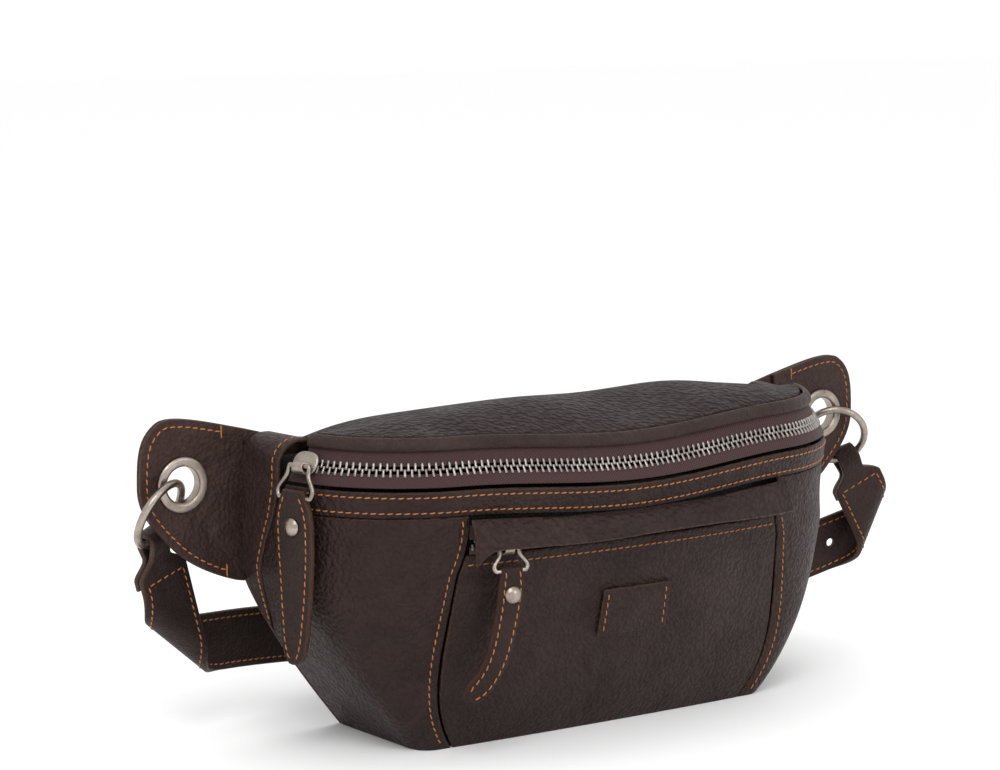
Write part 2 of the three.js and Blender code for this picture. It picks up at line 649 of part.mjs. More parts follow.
// Height of the belt's centre line behind the bag: level in the middle, meeting each fold's slope.
const beltRound = beltStraight / Math.sin(rad(beltTurn));
const beltMiddleZ = 25;
function foldPoint(side, s, v) {
  const broad = new THREE.Vector2(-side.hangs.y, side.hangs.x);
  const flat = side.hangs.clone().multiplyScalar(s - side.drop).addScaledVector(broad, v);
  const along = flat.dot(side.crease);
  const over = flat.dot(side.across);
  const radius = (beltPlane - side.pin.dot(toBack) + layer) / 2;
  const turn = THREE.MathUtils.clamp(over / radius, 0, Math.PI);
  const past = Math.max(over - Math.PI * radius, 0);
  const sideways = Math.min(over, 0) + radius * Math.sin(turn) - past;
  const anchor = side.hangs.clone().multiplyScalar(side.drop);
  const inPlane = anchor.addScaledVector(side.crease, along).addScaledVector(side.across, sideways);
  const depth = radius * (1 - Math.cos(turn)) - layer;
  const point = side.pin.clone().add(planar(inPlane.x, inPlane.y)).addScaledVector(toBack, depth);
  const normal = planar(side.across.x, side.across.y).multiplyScalar(-Math.sin(turn));
  normal.addScaledVector(toBack, Math.cos(turn));
  return { point, normal };
}
const halfStrap = strapWidth / 2;
[leftSide, rightSide].forEach((side) => {
  const slant = side.hangs.dot(side.across);
  const spread = Math.abs(new THREE.Vector2(-side.hangs.y, side.hangs.x).dot(side.across)) * halfStrap;
  const radius = (beltPlane - side.pin.dot(toBack) + layer) / 2;
  side.doneAt = side.drop + (Math.PI * radius + spread) / slant + 0.5;
  side.end = foldPoint(side, side.doneAt, 0).point;
  side.slope = side.leaves.y / side.leaves.x / toMiddle.x;
});

// x is negative on the strap's own side and positive beyond the buckle.
function beltHeight(side, other, x) {
  const own = x <= 0 ? side : other;
  const far = Math.abs(x);
  const edgeZ = own.end.z + own.slope * (-beltStraight - own.end.x);
  if (far > beltStraight) return own.end.z + own.slope * (-far - own.end.x);
  const t = far / beltStraight;
  const level = mix(beltMiddleZ, edgeZ, t * t * (3 - 2 * t));
  return level - own.slope * beltStraight * (t * t * t - t * t);
}
function beltPoint(side, other, x, out, aside) {
  const far = Math.abs(x);
  const edgeY = (beltPlane + toBack.x * beltStraight) / toBack.y;
  const angle = Math.asin(Math.min(far, beltStraight) / beltRound) * Math.sign(x);
  const bow = beltRound * (Math.cos(angle) - toMiddle.x);
  const past = Math.max(far - beltStraight, 0) * Math.tan(rad(beltTurn));
  const climb = beltHeight(side, other, x + 0.5) - beltHeight(side, other, x - 0.5);
  const slope = Math.atan(climb * Math.cos(angle));
  const middle = vec(x, edgeY + bow - past, beltHeight(side, other, x));
  const outward = vec(Math.sin(angle), Math.cos(angle), 0);
  const forward = vec(Math.cos(angle), -Math.sin(angle), 0);
  return {
    point: middle.addScaledVector(outward, out)
      .addScaledVector(forward, aside * Math.sin(slope))
      .add(vec(0, 0, -aside * Math.cos(slope))),
    normal: outward.clone().negate(),
    forward,
    outward,
  };
}

// A strap's end runs from its stitched tail round the ring, down, through the fold and on behind.
// Places are counted in mm from the ring's wire, negative round the loop and up the tail.
const loopArc = Math.PI * loopRadius;
const tailLength = 17;
function strapPoint(side, other, place, v, out) {
  const distance = place >= 0 ? place : Math.max(-loopArc - place, 0);
  const broad = neckHalf + (halfStrap - neckHalf) * ease((distance - 6) / 7);
  if (place >= side.doneAt) {
    return beltPoint(side, other, side.end.x + place - side.doneAt, out, v * halfStrap);
  }
  if (place >= loopLength) return foldPoint(side, place, v * broad);
  const hangs = planar(side.hangs.x, side.hangs.y);
  const settled = ease(distance / loopLength);
  const aside = side.tangent.clone().lerp(planar(-side.hangs.y, side.hangs.x), settled);
  aside.multiplyScalar(v * broad);
  const beta = Math.PI * THREE.MathUtils.clamp((place + loopArc) / loopArc, 0, 1);
  const spread = mix(loopRadius, layer, settled);
  const radial = hangs.clone().multiplyScalar(-Math.sin(beta)).addScaledVector(toBack, Math.cos(beta));
  const point = side.pin.clone().addScaledVector(radial, spread).add(aside)
    .addScaledVector(hangs, distance - 0.5 * (1 - settled));
  return { point, normal: radial.negate() };
}

function stops(...legs) {
  const list = [legs[0][0]];
  legs.forEach(([from, to, count]) => {
    for (let i = 1; i <= count; i++) list.push(mix(from, to, i / count));
  });
  return list;
}
function strap(places, where) {
  const steps = places.length - 1;
  return bent(steps, 2, 1, (u, v, w) => {
    const spot = where(places[Math.round(u * steps)], mix(-1, 1, v));
    return spot.point.addScaledVector(spot.normal, mix(-0.5, 0.5, w) * strapThick);
  });
}
const ringLegs = (side) => [
  [-loopArc - tailLength, -loopArc - loopLength, 2], [-loopArc - loopLength, -loopArc, 5],
  [-loopArc, 0, 6], [0, loopLength, 5], [loopLength, side.drop - 18, 2], [side.drop - 18, side.doneAt, 15],
];

// buckle: a frame whose heel bar carries the left strap; places in mm along the belt's middle
const wire = 3.2;
const heelX = -9;
const tipX = 13;
const heelRadius = wire / 2 + 2 * gap + strapThick / 2;
const heelTail = 26;
const heelArc = Math.PI * heelRadius;
function heelPoint(past, v) {
  const beta = Math.PI * THREE.MathUtils.clamp(past / heelArc, 0, 1);
  const back = past < 0 ? -past : Math.max(past - heelArc, 0);
  const spread = mix(heelRadius, layer, ease(back / 8));
  const spot = beltPoint(leftSide, rightSide, heelX - back, 0, v * halfStrap);
  const radial = spot.forward.clone().multiplyScalar(Math.sin(beta));
  radial.addScaledVector(spot.outward, Math.cos(beta));
  spot.point.addScaledVector(spot.outward, -layer).addScaledVector(radial, spread);
  return { point: spot.point, normal: radial.negate() };
}
const leftFar = leftSide.doneAt + heelX - 8 - leftSide.end.x;
const leftStrap = strap(
  stops(
    ...ringLegs(leftSide), [leftSide.doneAt, leftFar, 9], [leftFar, leftFar + 8, 4],
    [leftFar + 8, leftFar + 8 + heelArc, 6], [leftFar + 8 + heelArc, leftFar + 16 + heelArc, 4],
    [leftFar + 16 + heelArc, leftFar + 8 + heelArc + heelTail, 1],
  ),
  (place, v) => (place <= leftFar
    ? strapPoint(leftSide, rightSide, place, v, 0)
    : heelPoint(place - leftFar - 8, v)),
);

// frame of the belt at x in the world, for pieces that sit on it
function beltFrame(x) {
  const spot = beltPoint(leftSide, rightSide, x, 0, 0);
  return frameAt(spot.point, spot.forward, lift, spot.outward.clone().negate()).multiply(
    new THREE.Matrix4().makeScale(1, 1, -1),
  );
}
const slotHalf = 2.3;
const buckleSpot = beltFrame(0);
const onBuckle = (geometry) => placed(geometry, buckleSpot);
const heelSlot = onBuckle(block(vec(16, 2 * slotHalf, 12), vec(heelX, 0, -layer)));
add('strap_left', 'leather', cut(leftStrap, heelSlot));

function frameOutline(inset, radius) {
  const [x0, x1] = [heelX - wire / 2 + inset, tipX + wire / 2 - inset];
  const y = halfStrap + 1.1 + wire - inset;
  const shape = new THREE.Path();
  shape.moveTo(x0 + radius, -y);
  shape.lineTo(x1 - radius, -y);
  shape.quadraticCurveTo(x1, -y, x1, -y + radius);
  shape.lineTo(x1, y - radius);
  shape.quadraticCurveTo(x1, y, x1 - radius, y);
  shape.lineTo(x0 + radius, y);
  shape.quadraticCurveTo(x0, y, x0, y - radius);
  shape.lineTo(x0, -y + radius);
  shape.quadraticCurveTo(x0, -y, x0 + radius, -y);
  return shape.getPoints(4);
}
const bevel = 0.9;
const frameShape = new THREE.Shape(frameOutline(0, 4));
frameShape.holes.push(new THREE.Path(frameOutline(wire, 1.2)));
const frame = new THREE.ExtrudeGeometry(frameShape, {
  depth: wire - 2 * bevel,
  bevelThickness: bevel,
  bevelSize: bevel,
  bevelOffset: -bevel,
  bevelSegments: 1,
});
add('buckle_frame', 'nickel', onBuckle(frame.translate(0, 0, -layer - wire / 2 + bevel)));

const tongueHalf = 1.6;
const tongueOut = -layer + wire / 2 + 0.4;
const tongueHook = cylinder(wire / 2 + gap + 1.4, 2 * tongueHalf, vec(0, 1, 0), vec(heelX, 0, -layer), 20);
const tongueMiddle = vec((tipX + heelX + 3) / 2, 0, tongueOut + 0.7);
const tongueBar = block(vec(tipX - heelX + 3, 2 * tongueHalf, 1.4), tongueMiddle);
const tongueBore = cylinder(wire / 2 + gap, 20, vec(0, 1, 0), vec(heelX, 0, -layer), 20);
add('buckle_tongue', 'nickel', onBuckle(cut(join(tongueHook, tongueBar), tongueBore)));

// right strap: under the tip bar, up through the frame, over the heel and on through the keepers
const tipRest = 95;
const underTip = -layer - wire / 2 - 0.4 - strapThick / 2;
const overHeel = -layer + heelRadius + strapThick + 0.5;
function rightOut(x) {
  if (x < -18) return underTip * ease((x + 60) / 42);
  if (x < 9) return mix(underTip, overHeel, ease((x + 10) / 16));
  return mix(overHeel, strapThick + 0.4, ease((x - 9) / 14));
}
const rightFar = rightSide.doneAt - rightSide.end.x;
const rightStrap = strap(
  stops(
    ...ringLegs(rightSide), [rightSide.doneAt, rightFar - 60, 7], [rightFar - 60, rightFar - 18, 5],
    [rightFar - 18, rightFar - 10, 2], [rightFar - 10, rightFar + 6, 8], [rightFar + 6, rightFar + 24, 5],
    [rightFar + 24, rightFar + tipRest - 13, 4], [rightFar + tipRest - 13, rightFar + tipRest, 6],
  ),
  (place, v) => {
    const round = THREE.MathUtils.clamp((place - rightFar - tipRest + 12.5) / 13, 0, 1);
    const x = place - rightFar;
    return strapPoint(rightSide, leftSide, place, v * Math.sqrt(1 - round * round * 0.98), rightOut(x));
  },
);
const holePitch = 25;
const holes = [];
for (let x = -32; x > rightSide.end.x; x -= holePitch) {
  const spot = beltPoint(rightSide, leftSide, x, 0, 0);
  holes.push(cylinder(2, 16, spot.outward, spot.point, 8));
}
const foldHole = foldPoint(rightSide, rightSide.doneAt - 7, 0);
holes.push(cylinder(2, 6, foldHole.normal, foldHole.point, 8));
const mirrorFrame = new THREE.Matrix4().makeScale(-1, 1, 1).multiply(buckleSpot);
const tongueSlot = placed(block(vec(11, 2 * slotHalf, 16), vec(0.3, 0, 0)), mirrorFrame);
add('strap_right', 'leather', mirrored(cut(rightStrap, tongueSlot, ...holes)));

// keepers: closed leather bands that hold the free end down
const keeperSkin = 1.5;
const keeperDeep = 2 * strapThick + 1.2;
[-42, -70].forEach((x, i) => {
  const size = vec(10, strapWidth + 1.2, keeperDeep);
  const spot = vec(0, 0, strapThick / 2 + 0.2);
  const outer = block(vec(10, size.y + 2 * keeperSkin, size.z + 2 * keeperSkin), spot);
  const band = cut(outer, block(vec(20, size.y, size.z), spot));
  add(`keeper_${i + 1}`, 'leather', placed(band, beltFrame(x)));
});

export default part;
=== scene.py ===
import math

import bpy
import numpy as np
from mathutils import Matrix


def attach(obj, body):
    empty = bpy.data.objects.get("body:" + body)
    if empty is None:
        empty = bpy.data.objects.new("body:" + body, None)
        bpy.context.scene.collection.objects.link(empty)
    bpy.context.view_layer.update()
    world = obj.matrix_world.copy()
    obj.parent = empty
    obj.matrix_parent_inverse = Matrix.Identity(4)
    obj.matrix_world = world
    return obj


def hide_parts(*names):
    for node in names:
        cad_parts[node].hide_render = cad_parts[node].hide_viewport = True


# Leather waist pack. Surfaces are worked out in millimetres in the CAD frame and written in metres.
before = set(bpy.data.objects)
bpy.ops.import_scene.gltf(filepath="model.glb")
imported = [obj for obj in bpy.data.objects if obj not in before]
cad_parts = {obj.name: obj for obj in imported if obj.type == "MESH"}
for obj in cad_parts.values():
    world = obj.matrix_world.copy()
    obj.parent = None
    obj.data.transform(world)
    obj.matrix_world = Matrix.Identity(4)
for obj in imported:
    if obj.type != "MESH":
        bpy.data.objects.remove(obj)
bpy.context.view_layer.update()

# camera
cameraSet = {"place": (-0.70083, -0.99378, 0.31562), "azimuth": -34.0, "down": 8.3, "lens": 105.8}
camData = bpy.data.cameras.new("view")
camData.lens = cameraSet["lens"]
camData.sensor_width = 36
camera = bpy.data.objects.new("view", camData)
camera.location = cameraSet["place"]
camera.rotation_euler = (math.radians(90 - cameraSet["down"]), 0, math.radians(cameraSet["azimuth"]))
bpy.context.scene.collection.objects.link(camera)
bpy.context.scene.camera = camera

# plan of the pouch
gap = 0.3
backY = 30.0
pocketShare = 0.475
cornerShare = 0.51
lidEnd = 0.955
tapeReach = 8.4
up = np.array([0.0, 0.0, 1.0])


def mix(a, b, t):
    return a + (b - a) * t


def ease(t):
    t = np.clip(t, 0, 1)
    return t * t * (3 - 2 * t)


def vec(x, y, z):
    return np.stack(np.broadcast_arrays(np.asarray(x, float), y, z), -1)


# left pieces are drawn, right ones mirrored: sign is 1 or -1
def mirrored(sign):
    return np.array([sign, 1.0, 1.0])


def unit(v):
    return v / np.maximum(np.linalg.norm(v, axis=-1, keepdims=True), 1e-9)


# a section is two corner arcs joined by a shallow front arc
def section(half, depth, corner, bow, end):
    centreX = half - corner
    centreY = backY - depth + corner + centreX * np.tan(np.radians(bow / 2))
    return {"half": half, "corner": corner, "cx": centreX, "cy": centreY, "bow": bow, "end": end}


def sectionAt(z):
    rise = 1 - (1 - np.minimum(z / 75, 1)) ** 1.3
    high = np.clip(z / 95, 0, 1)
    return section(mix(88, 135, rise), mix(60, 85.5, high ** 0.85), mix(10, 63, ease(high)),
                   mix(2, 10, high), mix(90, 80, high))


rail = section(136.0, 90.0, 65.1, 10.0, 80.0)


# station runs from 0 at the middle of the front to 1 where a corner ends and 1.2 at the back
def planPoint(station, plan, inset=0.0):
    side = np.where(station < 0, -1.0, 1.0)
    way = np.abs(station)
    bow = np.radians(plan["bow"])
    big = plan["corner"] + plan["cx"] / np.sin(bow) - inset
    angleA = bow * way / cornerShare
    xa = big * np.sin(angleA)
    ya = plan["cy"] + plan["cx"] / np.tan(bow) - big * np.cos(angleA)
    turn = np.clip((way - cornerShare) / (1 - cornerShare), 0, 1)
    angleB = mix(bow, np.radians(plan["end"]), turn)
    xb = plan["cx"] + (plan["corner"] - inset) * np.sin(angleB)
    yb = plan["cy"] - (plan["corner"] - inset) * np.cos(angleB)
    back = np.clip((way - 1) / 0.2, 0, 1)
    xc = mix(xb, plan["half"] + 3 - inset, back)
    yc = mix(yb, backY - 1.9, back)
    front = way <= cornerShare
    beyond = way > 1
    angle = np.where(front, angleA, np.where(beyond, math.pi / 2, angleB))
    x = side * np.where(front, xa, np.where(beyond, xc, xb))
    y = np.where(front, ya, np.where(beyond, yc, yb))
    return x, y, side * np.sin(angle), -np.cos(angle)


def chainHeight(station):
    way = np.clip(np.abs(station) / cornerShare, 0, 1)
    return 117.5 - 4 * np.cos(way * math.pi / 2) ** 2


def bandFoot(station):
    return chainHeight(station) - 18.5


# a point beside the zip: across runs up its slope and out stands off it
def zipPoint(station, across, out, extra=0.0):
    x, y, ox, oy = planPoint(station, rail, 6 + extra)
    lean = math.radians(30)
    level = out * math.cos(lean) - across * math.sin(lean)
    rise = out * math.sin(lean) + across * math.cos(lean)
    return vec(x + level * ox, y + level * oy, chainHeight(station) + rise)


def wallPoint(station, z, inset):
    x, y, ox, oy = planPoint(station, sectionAt(z))
    return vec(x - inset * ox, y - inset * oy, z)


def seamStation(z):
    return 1 + 0.2 * np.clip((110 - z) / 66, 0, 1) ** 1.3


# mesh makers
def newObject(name, points, faces, uv=None, rim=None, smooth=True):
    mesh = bpy.data.meshes.new(name)
    mesh.from_pydata((np.asarray(points) * 0.001).tolist(), [], faces)
    if uv is not None:
        corner = np.empty(len(mesh.loops), dtype=np.int32)
        mesh.loops.foreach_get("vertex_index", corner)
        layer = mesh.uv_layers.new(name="UVMap")
        layer.data.foreach_set("uv", (np.asarray(uv)[corner] * 0.001).astype(np.float32).ravel())
    edge = mesh.attributes.new("rim", "FLOAT", "POINT")
    values = np.full(len(points), 9.0) if rim is None else np.asarray(rim)
    edge.data.foreach_set("value", values.astype(np.float32))
    mesh.polygons.foreach_set("use_smooth", np.full(len(mesh.polygons), smooth))
    mesh.update()
    obj = bpy.data.objects.new(name, mesh)
    bpy.context.scene.collection.objects.link(obj)
    return obj


# quads between neighbours on a grid of vertex numbers
def quadsOf(grid):
    corners = [grid[:-1, :-1], grid[1:, :-1], grid[1:, 1:], grid[:-1, 1:]]
    return np.stack(corners, -1).reshape(-1, 4)


def normalsOf(points, wrap=False):
    if wrap:
        du = np.roll(points, -1, 0) - np.roll(points, 1, 0)
    else:
        du = np.gradient(points, axis=0)
    dv = np.gradient(points, axis=1)
    return unit(np.cross(du, dv))


# steps from 0 to 1 that crowd near both ends, so that an edge can be rounded
def stops(count, length, rim):
    tight = np.array([0, 0.1, 0.3, 0.6, 1.0]) * rim / length
    middle = np.linspace(tight[-1], 1 - tight[-1], count)[1:-1]
    return np.concatenate([tight, middle, 1 - tight[::-1]])


# A closed skin of one thickness round a middle surface. Its half thickness falls along a
# quarter circle at the border, so every edge is round and the two sides share it.
def slab(name, surface, size, count, thick, rim=0.9, flip=False, relief=None, wrap=False):
    us = stops(count[0], size[0], rim) if not wrap else np.arange(count[0]) / count[0]
    vs = stops(count[1], size[1], rim)
    u, v = np.meshgrid(us, vs, indexing="ij")
    middle = surface(u, v)
    normal = normalsOf(middle, wrap) * (-1 if flip else 1)
    du = np.minimum(u, 1 - u) * size[0] if not wrap else np.full_like(u, 99.0)
    dv = np.minimum(v, 1 - v) * size[1]
    inEdge = np.minimum(du, dv)
    fall = np.sqrt(np.clip(1 - (1 - np.clip(inEdge / rim, 0, 1)) ** 2, 0, 1))
    half = (thick / 2 * fall)[..., None]
    outer = middle + normal * half
    if relief is not None:
        outer = outer + normal * relief(u, v)[..., None] * fall[..., None]
    inner = middle - normal * half
    nu, nv = u.shape
    ids = np.arange(nu * nv).reshape(nu, nv)
    inside = ids + nu * nv
    inside[:, 0], inside[:, -1] = ids[:, 0], ids[:, -1]
    if not wrap:
        inside[0], inside[-1] = ids[0], ids[-1]

    def quads(grid, turned):
        a = grid if not wrap else np.vstack([grid, grid[:1]])
        cells = quadsOf(a)
        return cells[:, ::-1] if turned else cells
    faces = np.vstack([quads(ids, flip), quads(inside, not flip)])
    points = np.vstack([outer.reshape(-1, 3), inner.reshape(-1, 3)])
    flat = np.stack([u * size[0], v * size[1]], -1).reshape(-1, 2)
    used, packed = np.unique(faces, return_inverse=True)
    uv = np.vstack([flat, flat])
    edge = np.concatenate([inEdge.ravel(), inEdge.ravel()])
    obj = newObject(name, points[used], packed.reshape(faces.shape).tolist(), uv[used], edge[used])
    outward(obj)
    return obj


# a round or oval bar along a path of points; side is the wider way of its section
def tube(name, path, radius, sides=12, closed=False, wide=1.0, side=None):
    path = np.asarray(path, float)
    ahead = np.roll(path, -1, 0) - np.roll(path, 1, 0) if closed else np.gradient(path, axis=0)
    ahead = unit(ahead)
    if side is None:
        side = unit(np.cross(ahead, np.cross(ahead, up + 0.01)))
    else:
        side = unit(np.cross(ahead, np.cross(np.broadcast_to(side, ahead.shape), ahead)))
    other = np.cross(ahead, side)
    turn = np.arange(sides) * 2 * math.pi / sides
    r = np.broadcast_to(np.asarray(radius, float), (len(path),))[:, None, None]
    ring = np.cos(turn)[None, :, None] * side[:, None] * wide + np.sin(turn)[None, :, None] * other[:, None]
    points = (path[:, None] + r * ring).reshape(-1, 3)
    grid = np.arange(len(points)).reshape(-1, sides)
    if closed:
        grid = np.vstack([grid, grid[:1]])
    grid = np.hstack([grid, grid[:, :1]])
    faces = quadsOf(grid)[:, ::-1].tolist()
    if not closed:
        faces += [grid[0, :-1].tolist(), grid[-1, :-1][::-1].tolist()]
    obj = newObject(name, points, faces)
    outward(obj)
    return obj


# turns a closed piece's faces outwards when its volume comes out negative
def outward(obj):
    mesh = obj.data
    mesh.calc_loop_triangles()
    count = len(mesh.loop_triangles)
    tri = np.empty(count * 3, dtype=np.int32)
    mesh.loop_triangles.foreach_get("vertices", tri)
    co = np.empty(len(mesh.vertices) * 3)
    mesh.vertices.foreach_get("co", co)
    a, b, c = co.reshape(-1, 3)[tri.reshape(-1, 3)].transpose(1, 0, 2)
    if np.einsum("ij,ij->i", a, np.cross(b, c)).sum() < 0:
        mesh.flip_normals()


# a turned piece: profile is (radius, height) along axis, starting and ending on the axis or closed
def turned(name, profile, centre, axis, sides=48, loop=True):
    axis = unit(np.asarray(axis, float))
    first = unit(np.cross(axis, [0.31, 0.2, 0.93]))
    second = np.cross(axis, first)
    angle = np.arange(sides) * 2 * math.pi / sides
    spoke = np.cos(angle)[:, None] * first + np.sin(angle)[:, None] * second
    r, h = np.asarray(profile, float).T
    points = np.asarray(centre) + spoke[:, None] * r[None, :, None] + axis * h[None, :, None]
    grid = np.arange(points.shape[0] * points.shape[1]).reshape(points.shape[:2])
    grid = np.vstack([grid, grid[:1]])
    if loop:
        grid = np.hstack([grid, grid[:, :1]])
    faces = quadsOf(grid)[:, ::-1].tolist()
    if not loop:
        faces += [grid[:-1, 0].tolist(), grid[:-1, -1][::-1].tolist()]
    obj = newObject(name, points.reshape(-1, 3), faces)
    outward(obj)
    return obj


# a flat piece with round edges and holes, from outlines in the x-z plane
def flatPiece(name, outlines, y, thick, rim=0.5):
    curve = bpy.data.curves.new(name, "CURVE")
    curve.dimensions = "2D"
    curve.fill_mode = "BOTH"
    curve.extrude = (thick / 2 - rim) * 0.001
    curve.bevel_depth = rim * 0.001
    curve.offset = -rim * 0.001
    curve.bevel_resolution = 2
    for outline in outlines:
        line = curve.splines.new("POLY")
        line.points.add(len(outline) - 1)
        flat = np.hstack([np.asarray(outline) * 0.001, np.zeros((len(outline), 1)),
            np.ones((len(outline), 1))])
        line.points.foreach_set("co", flat.ravel())
        line.use_cyclic_u = True
    holder = bpy.data.objects.new(name + "_line", curve)
    bpy.context.scene.collection.objects.link(holder)
    made = bpy.data.meshes.new_from_object(holder.evaluated_get(bpy.context.evaluated_depsgraph_get()))
    bpy.data.objects.remove(holder)
    count = len(made.vertices)
    co = np.empty(count * 3)
    made.vertices.foreach_get("co", co)
    flatCo = co.reshape(-1, 3) * 1000
    faces = [list(p.vertices) for p in made.polygons]
    points = vec(flatCo[:, 0], y - flatCo[:, 2], flatCo[:, 1])
    keep, joined = np.unique(np.round(points, 3), axis=0, return_inverse=True)
    joined = joined.ravel()
    faces = [[int(joined[i]) for i in f] for f in faces]
    faces = [f for f in faces if len(set(f)) == len(f)]
    ring = np.vstack([np.asarray(o) for o in outlines])
    away = np.sqrt(((keep[:, None, [0, 2]] - ring[None]) ** 2).sum(-1)).min(1)
    obj = newObject(name, keep, faces, keep[:, [0, 2]], away)
    outward(obj)
    return obj


# stitches: short arched threads laid along a path on a surface
stitchSet = {"pitch": 3.3, "length": 2.65, "radius": 0.3, "slant": 7.0}


def stitchRow(path, normal, pitch=None, closed=False):
    path = np.asarray(path, float)
    pitch = pitch or stitchSet["pitch"]
    reach = np.concatenate([[0], np.cumsum(np.linalg.norm(np.diff(path, axis=0), axis=1))])
    count = max(int(reach[-1] / pitch), 1)
    at = (np.arange(count) + 0.5) * reach[-1] / count
    put = lambda values, where: np.stack([np.interp(where, reach, values[:, k]) for k in range(3)], -1)
    place = put(path, at)
    ahead = unit(put(path, at + 0.6) - put(path, at - 0.6))
    lift = unit(put(np.asarray(normal, float), at))
    across = unit(np.cross(lift, ahead))
    slant = math.radians(stitchSet["slant"])
    return place, unit(ahead * math.cos(slant) + across * math.sin(slant)), lift


# Many copies of one small closed shape: local is rings of points from end to end, and each
# copy stands at a place on its own three axes.
def copiesOf(name, local, place, basis):
    rings, sides = local.shape[:2]
    count = rings * sides
    points = place[:, None] + np.einsum("vk,nkc->nvc", local.reshape(-1, 3), basis)
    grid = np.arange(count).reshape(rings, sides)
    step = (np.arange(len(place)) * count)[:, None, None]
    faces = (quadsOf(np.hstack([grid, grid[:, :1]]))[None] + step).reshape(-1, 4).tolist()
    caps = np.stack([grid[0], grid[-1, ::-1]])
    faces += (caps[None] + step).reshape(-1, sides).tolist()
    obj = newObject(name, points.reshape(-1, 3), faces)
    outward(obj)
    return obj


def stitchMesh(name, rows, body, slot="leather"):
    place, ahead, lift = (np.vstack([r[k] for r in rows]) for k in range(3))
    across = unit(np.cross(lift, ahead))
    lift = np.cross(ahead, across)
    along = np.array([-0.5, -0.42, -0.2, 0.2, 0.42, 0.5])[:, None] * stitchSet["length"]
    girth = np.array([0.35, 0.8, 1.0, 1.0, 0.8, 0.35])[:, None] * stitchSet["radius"]
    height = np.array([-0.42, -0.12, 0.08, 0.08, -0.12, -0.42])[:, None]
    turn = np.arange(6) * math.pi / 3
    local = vec(along + 0 * turn, girth * np.cos(turn), height + girth * np.sin(turn))
    obj = copiesOf(name, local, place, np.stack([ahead, across, lift], 1))
    return dress(obj, threadLook, body, slot)


# a path on a surface with its outward side: thick is the piece's thickness there
def onSurface(surface, us, vs, thick, flip=False):
    us, vs = np.broadcast_arrays(np.asarray(us, float), np.asarray(vs, float))
    e = 1e-3
    middle = surface(us, vs)
    du = surface(us + e, vs) - surface(us - e, vs)
    dv = surface(us, vs + e) - surface(us, vs - e)
    normal = unit(np.cross(du, dv)) * (-1 if flip else 1)
    return middle + normal * thick / 2, normal


# materials
def ramp(tree, source, stopsList):
    node = tree.nodes.new("ShaderNodeValToRGB")
    points = node.color_ramp.elements
    while len(points) < len(stopsList):
        points.new(0.5)
    for point, (at, tone) in zip(points, stopsList):
        point.position = at
        point.color = (tone, tone, tone, 1) if np.isscalar(tone) else (*tone, 1)
    tree.links.new(source, node.inputs["Fac"])
    return node.outputs["Color"]


def maths(tree, operation, a, b=0.0, c=None):
    node = tree.nodes.new("ShaderNodeMath")
    node.operation = operation
    for i, value in enumerate((a, b) if c is None else (a, b, c)):
        if isinstance(value, (int, float)):
            node.inputs[i].default_value = value
        else:
            tree.links.new(value, node.inputs[i])
    return node.outputs[0]


def blendTone(tree, fac, a, b, kind="MIX"):
    node = tree.nodes.new("ShaderNodeMix")
    node.data_type = "RGBA"
    node.blend_type = kind
    for socket, value in ((node.inputs["Factor"], fac), (node.inputs[6], a), (node.inputs[7], b)):
        if isinstance(value, (int, float)):
            socket.default_value = value
        elif isinstance(value, tuple):
            socket.default_value = (*value, 1)
        else:
            tree.links.new(value, socket)
    return node.outputs[2]


def noise(tree, coord, scale, detail=3.0, rough=0.55, distort=0.0):
    node = tree.nodes.new("ShaderNodeTexNoise")
    node.inputs["Scale"].default_value = scale
    node.inputs["Detail"].default_value = detail
    node.inputs["Roughness"].default_value = rough
    node.inputs["Distortion"].default_value = distort
    tree.links.new(coord, node.inputs["Vector"])
    return node.outputs["Fac"]


def bumpOf(tree, height, strength, distance):
    bump = tree.nodes.new("ShaderNodeBump")
    for key, value in (("Strength", strength), ("Distance", distance), ("Height", height)):
        if isinstance(value, (int, float)):
            bump.inputs[key].default_value = value
        else:
            tree.links.new(value, bump.inputs[key])
    return bump.outputs[0]


# a node group from its named inputs and outputs, with the ends that its nodes join
def newGroup(name, inputs, outputs):
    tree = bpy.data.node_groups.new(name, "ShaderNodeTree")
    for key, start in inputs.items():
        kind = "NodeSocketColor" if isinstance(start, tuple) else "NodeSocketFloat"
        socket = tree.interface.new_socket(name=key, in_out="INPUT", socket_type=kind)
        socket.default_value = start
    for key in outputs:
        kind = {"Color": "NodeSocketColor", "Normal": "NodeSocketVector"}.get(key, "NodeSocketFloat")
        tree.interface.new_socket(name=key, in_out="OUTPUT", socket_type=kind)
    return tree, tree.nodes.new("NodeGroupInput").outputs, tree.nodes.new("NodeGroupOutput").inputs


def objectCoord(tree):
    return tree.nodes.new("ShaderNodeTexCoord").outputs["Object"]


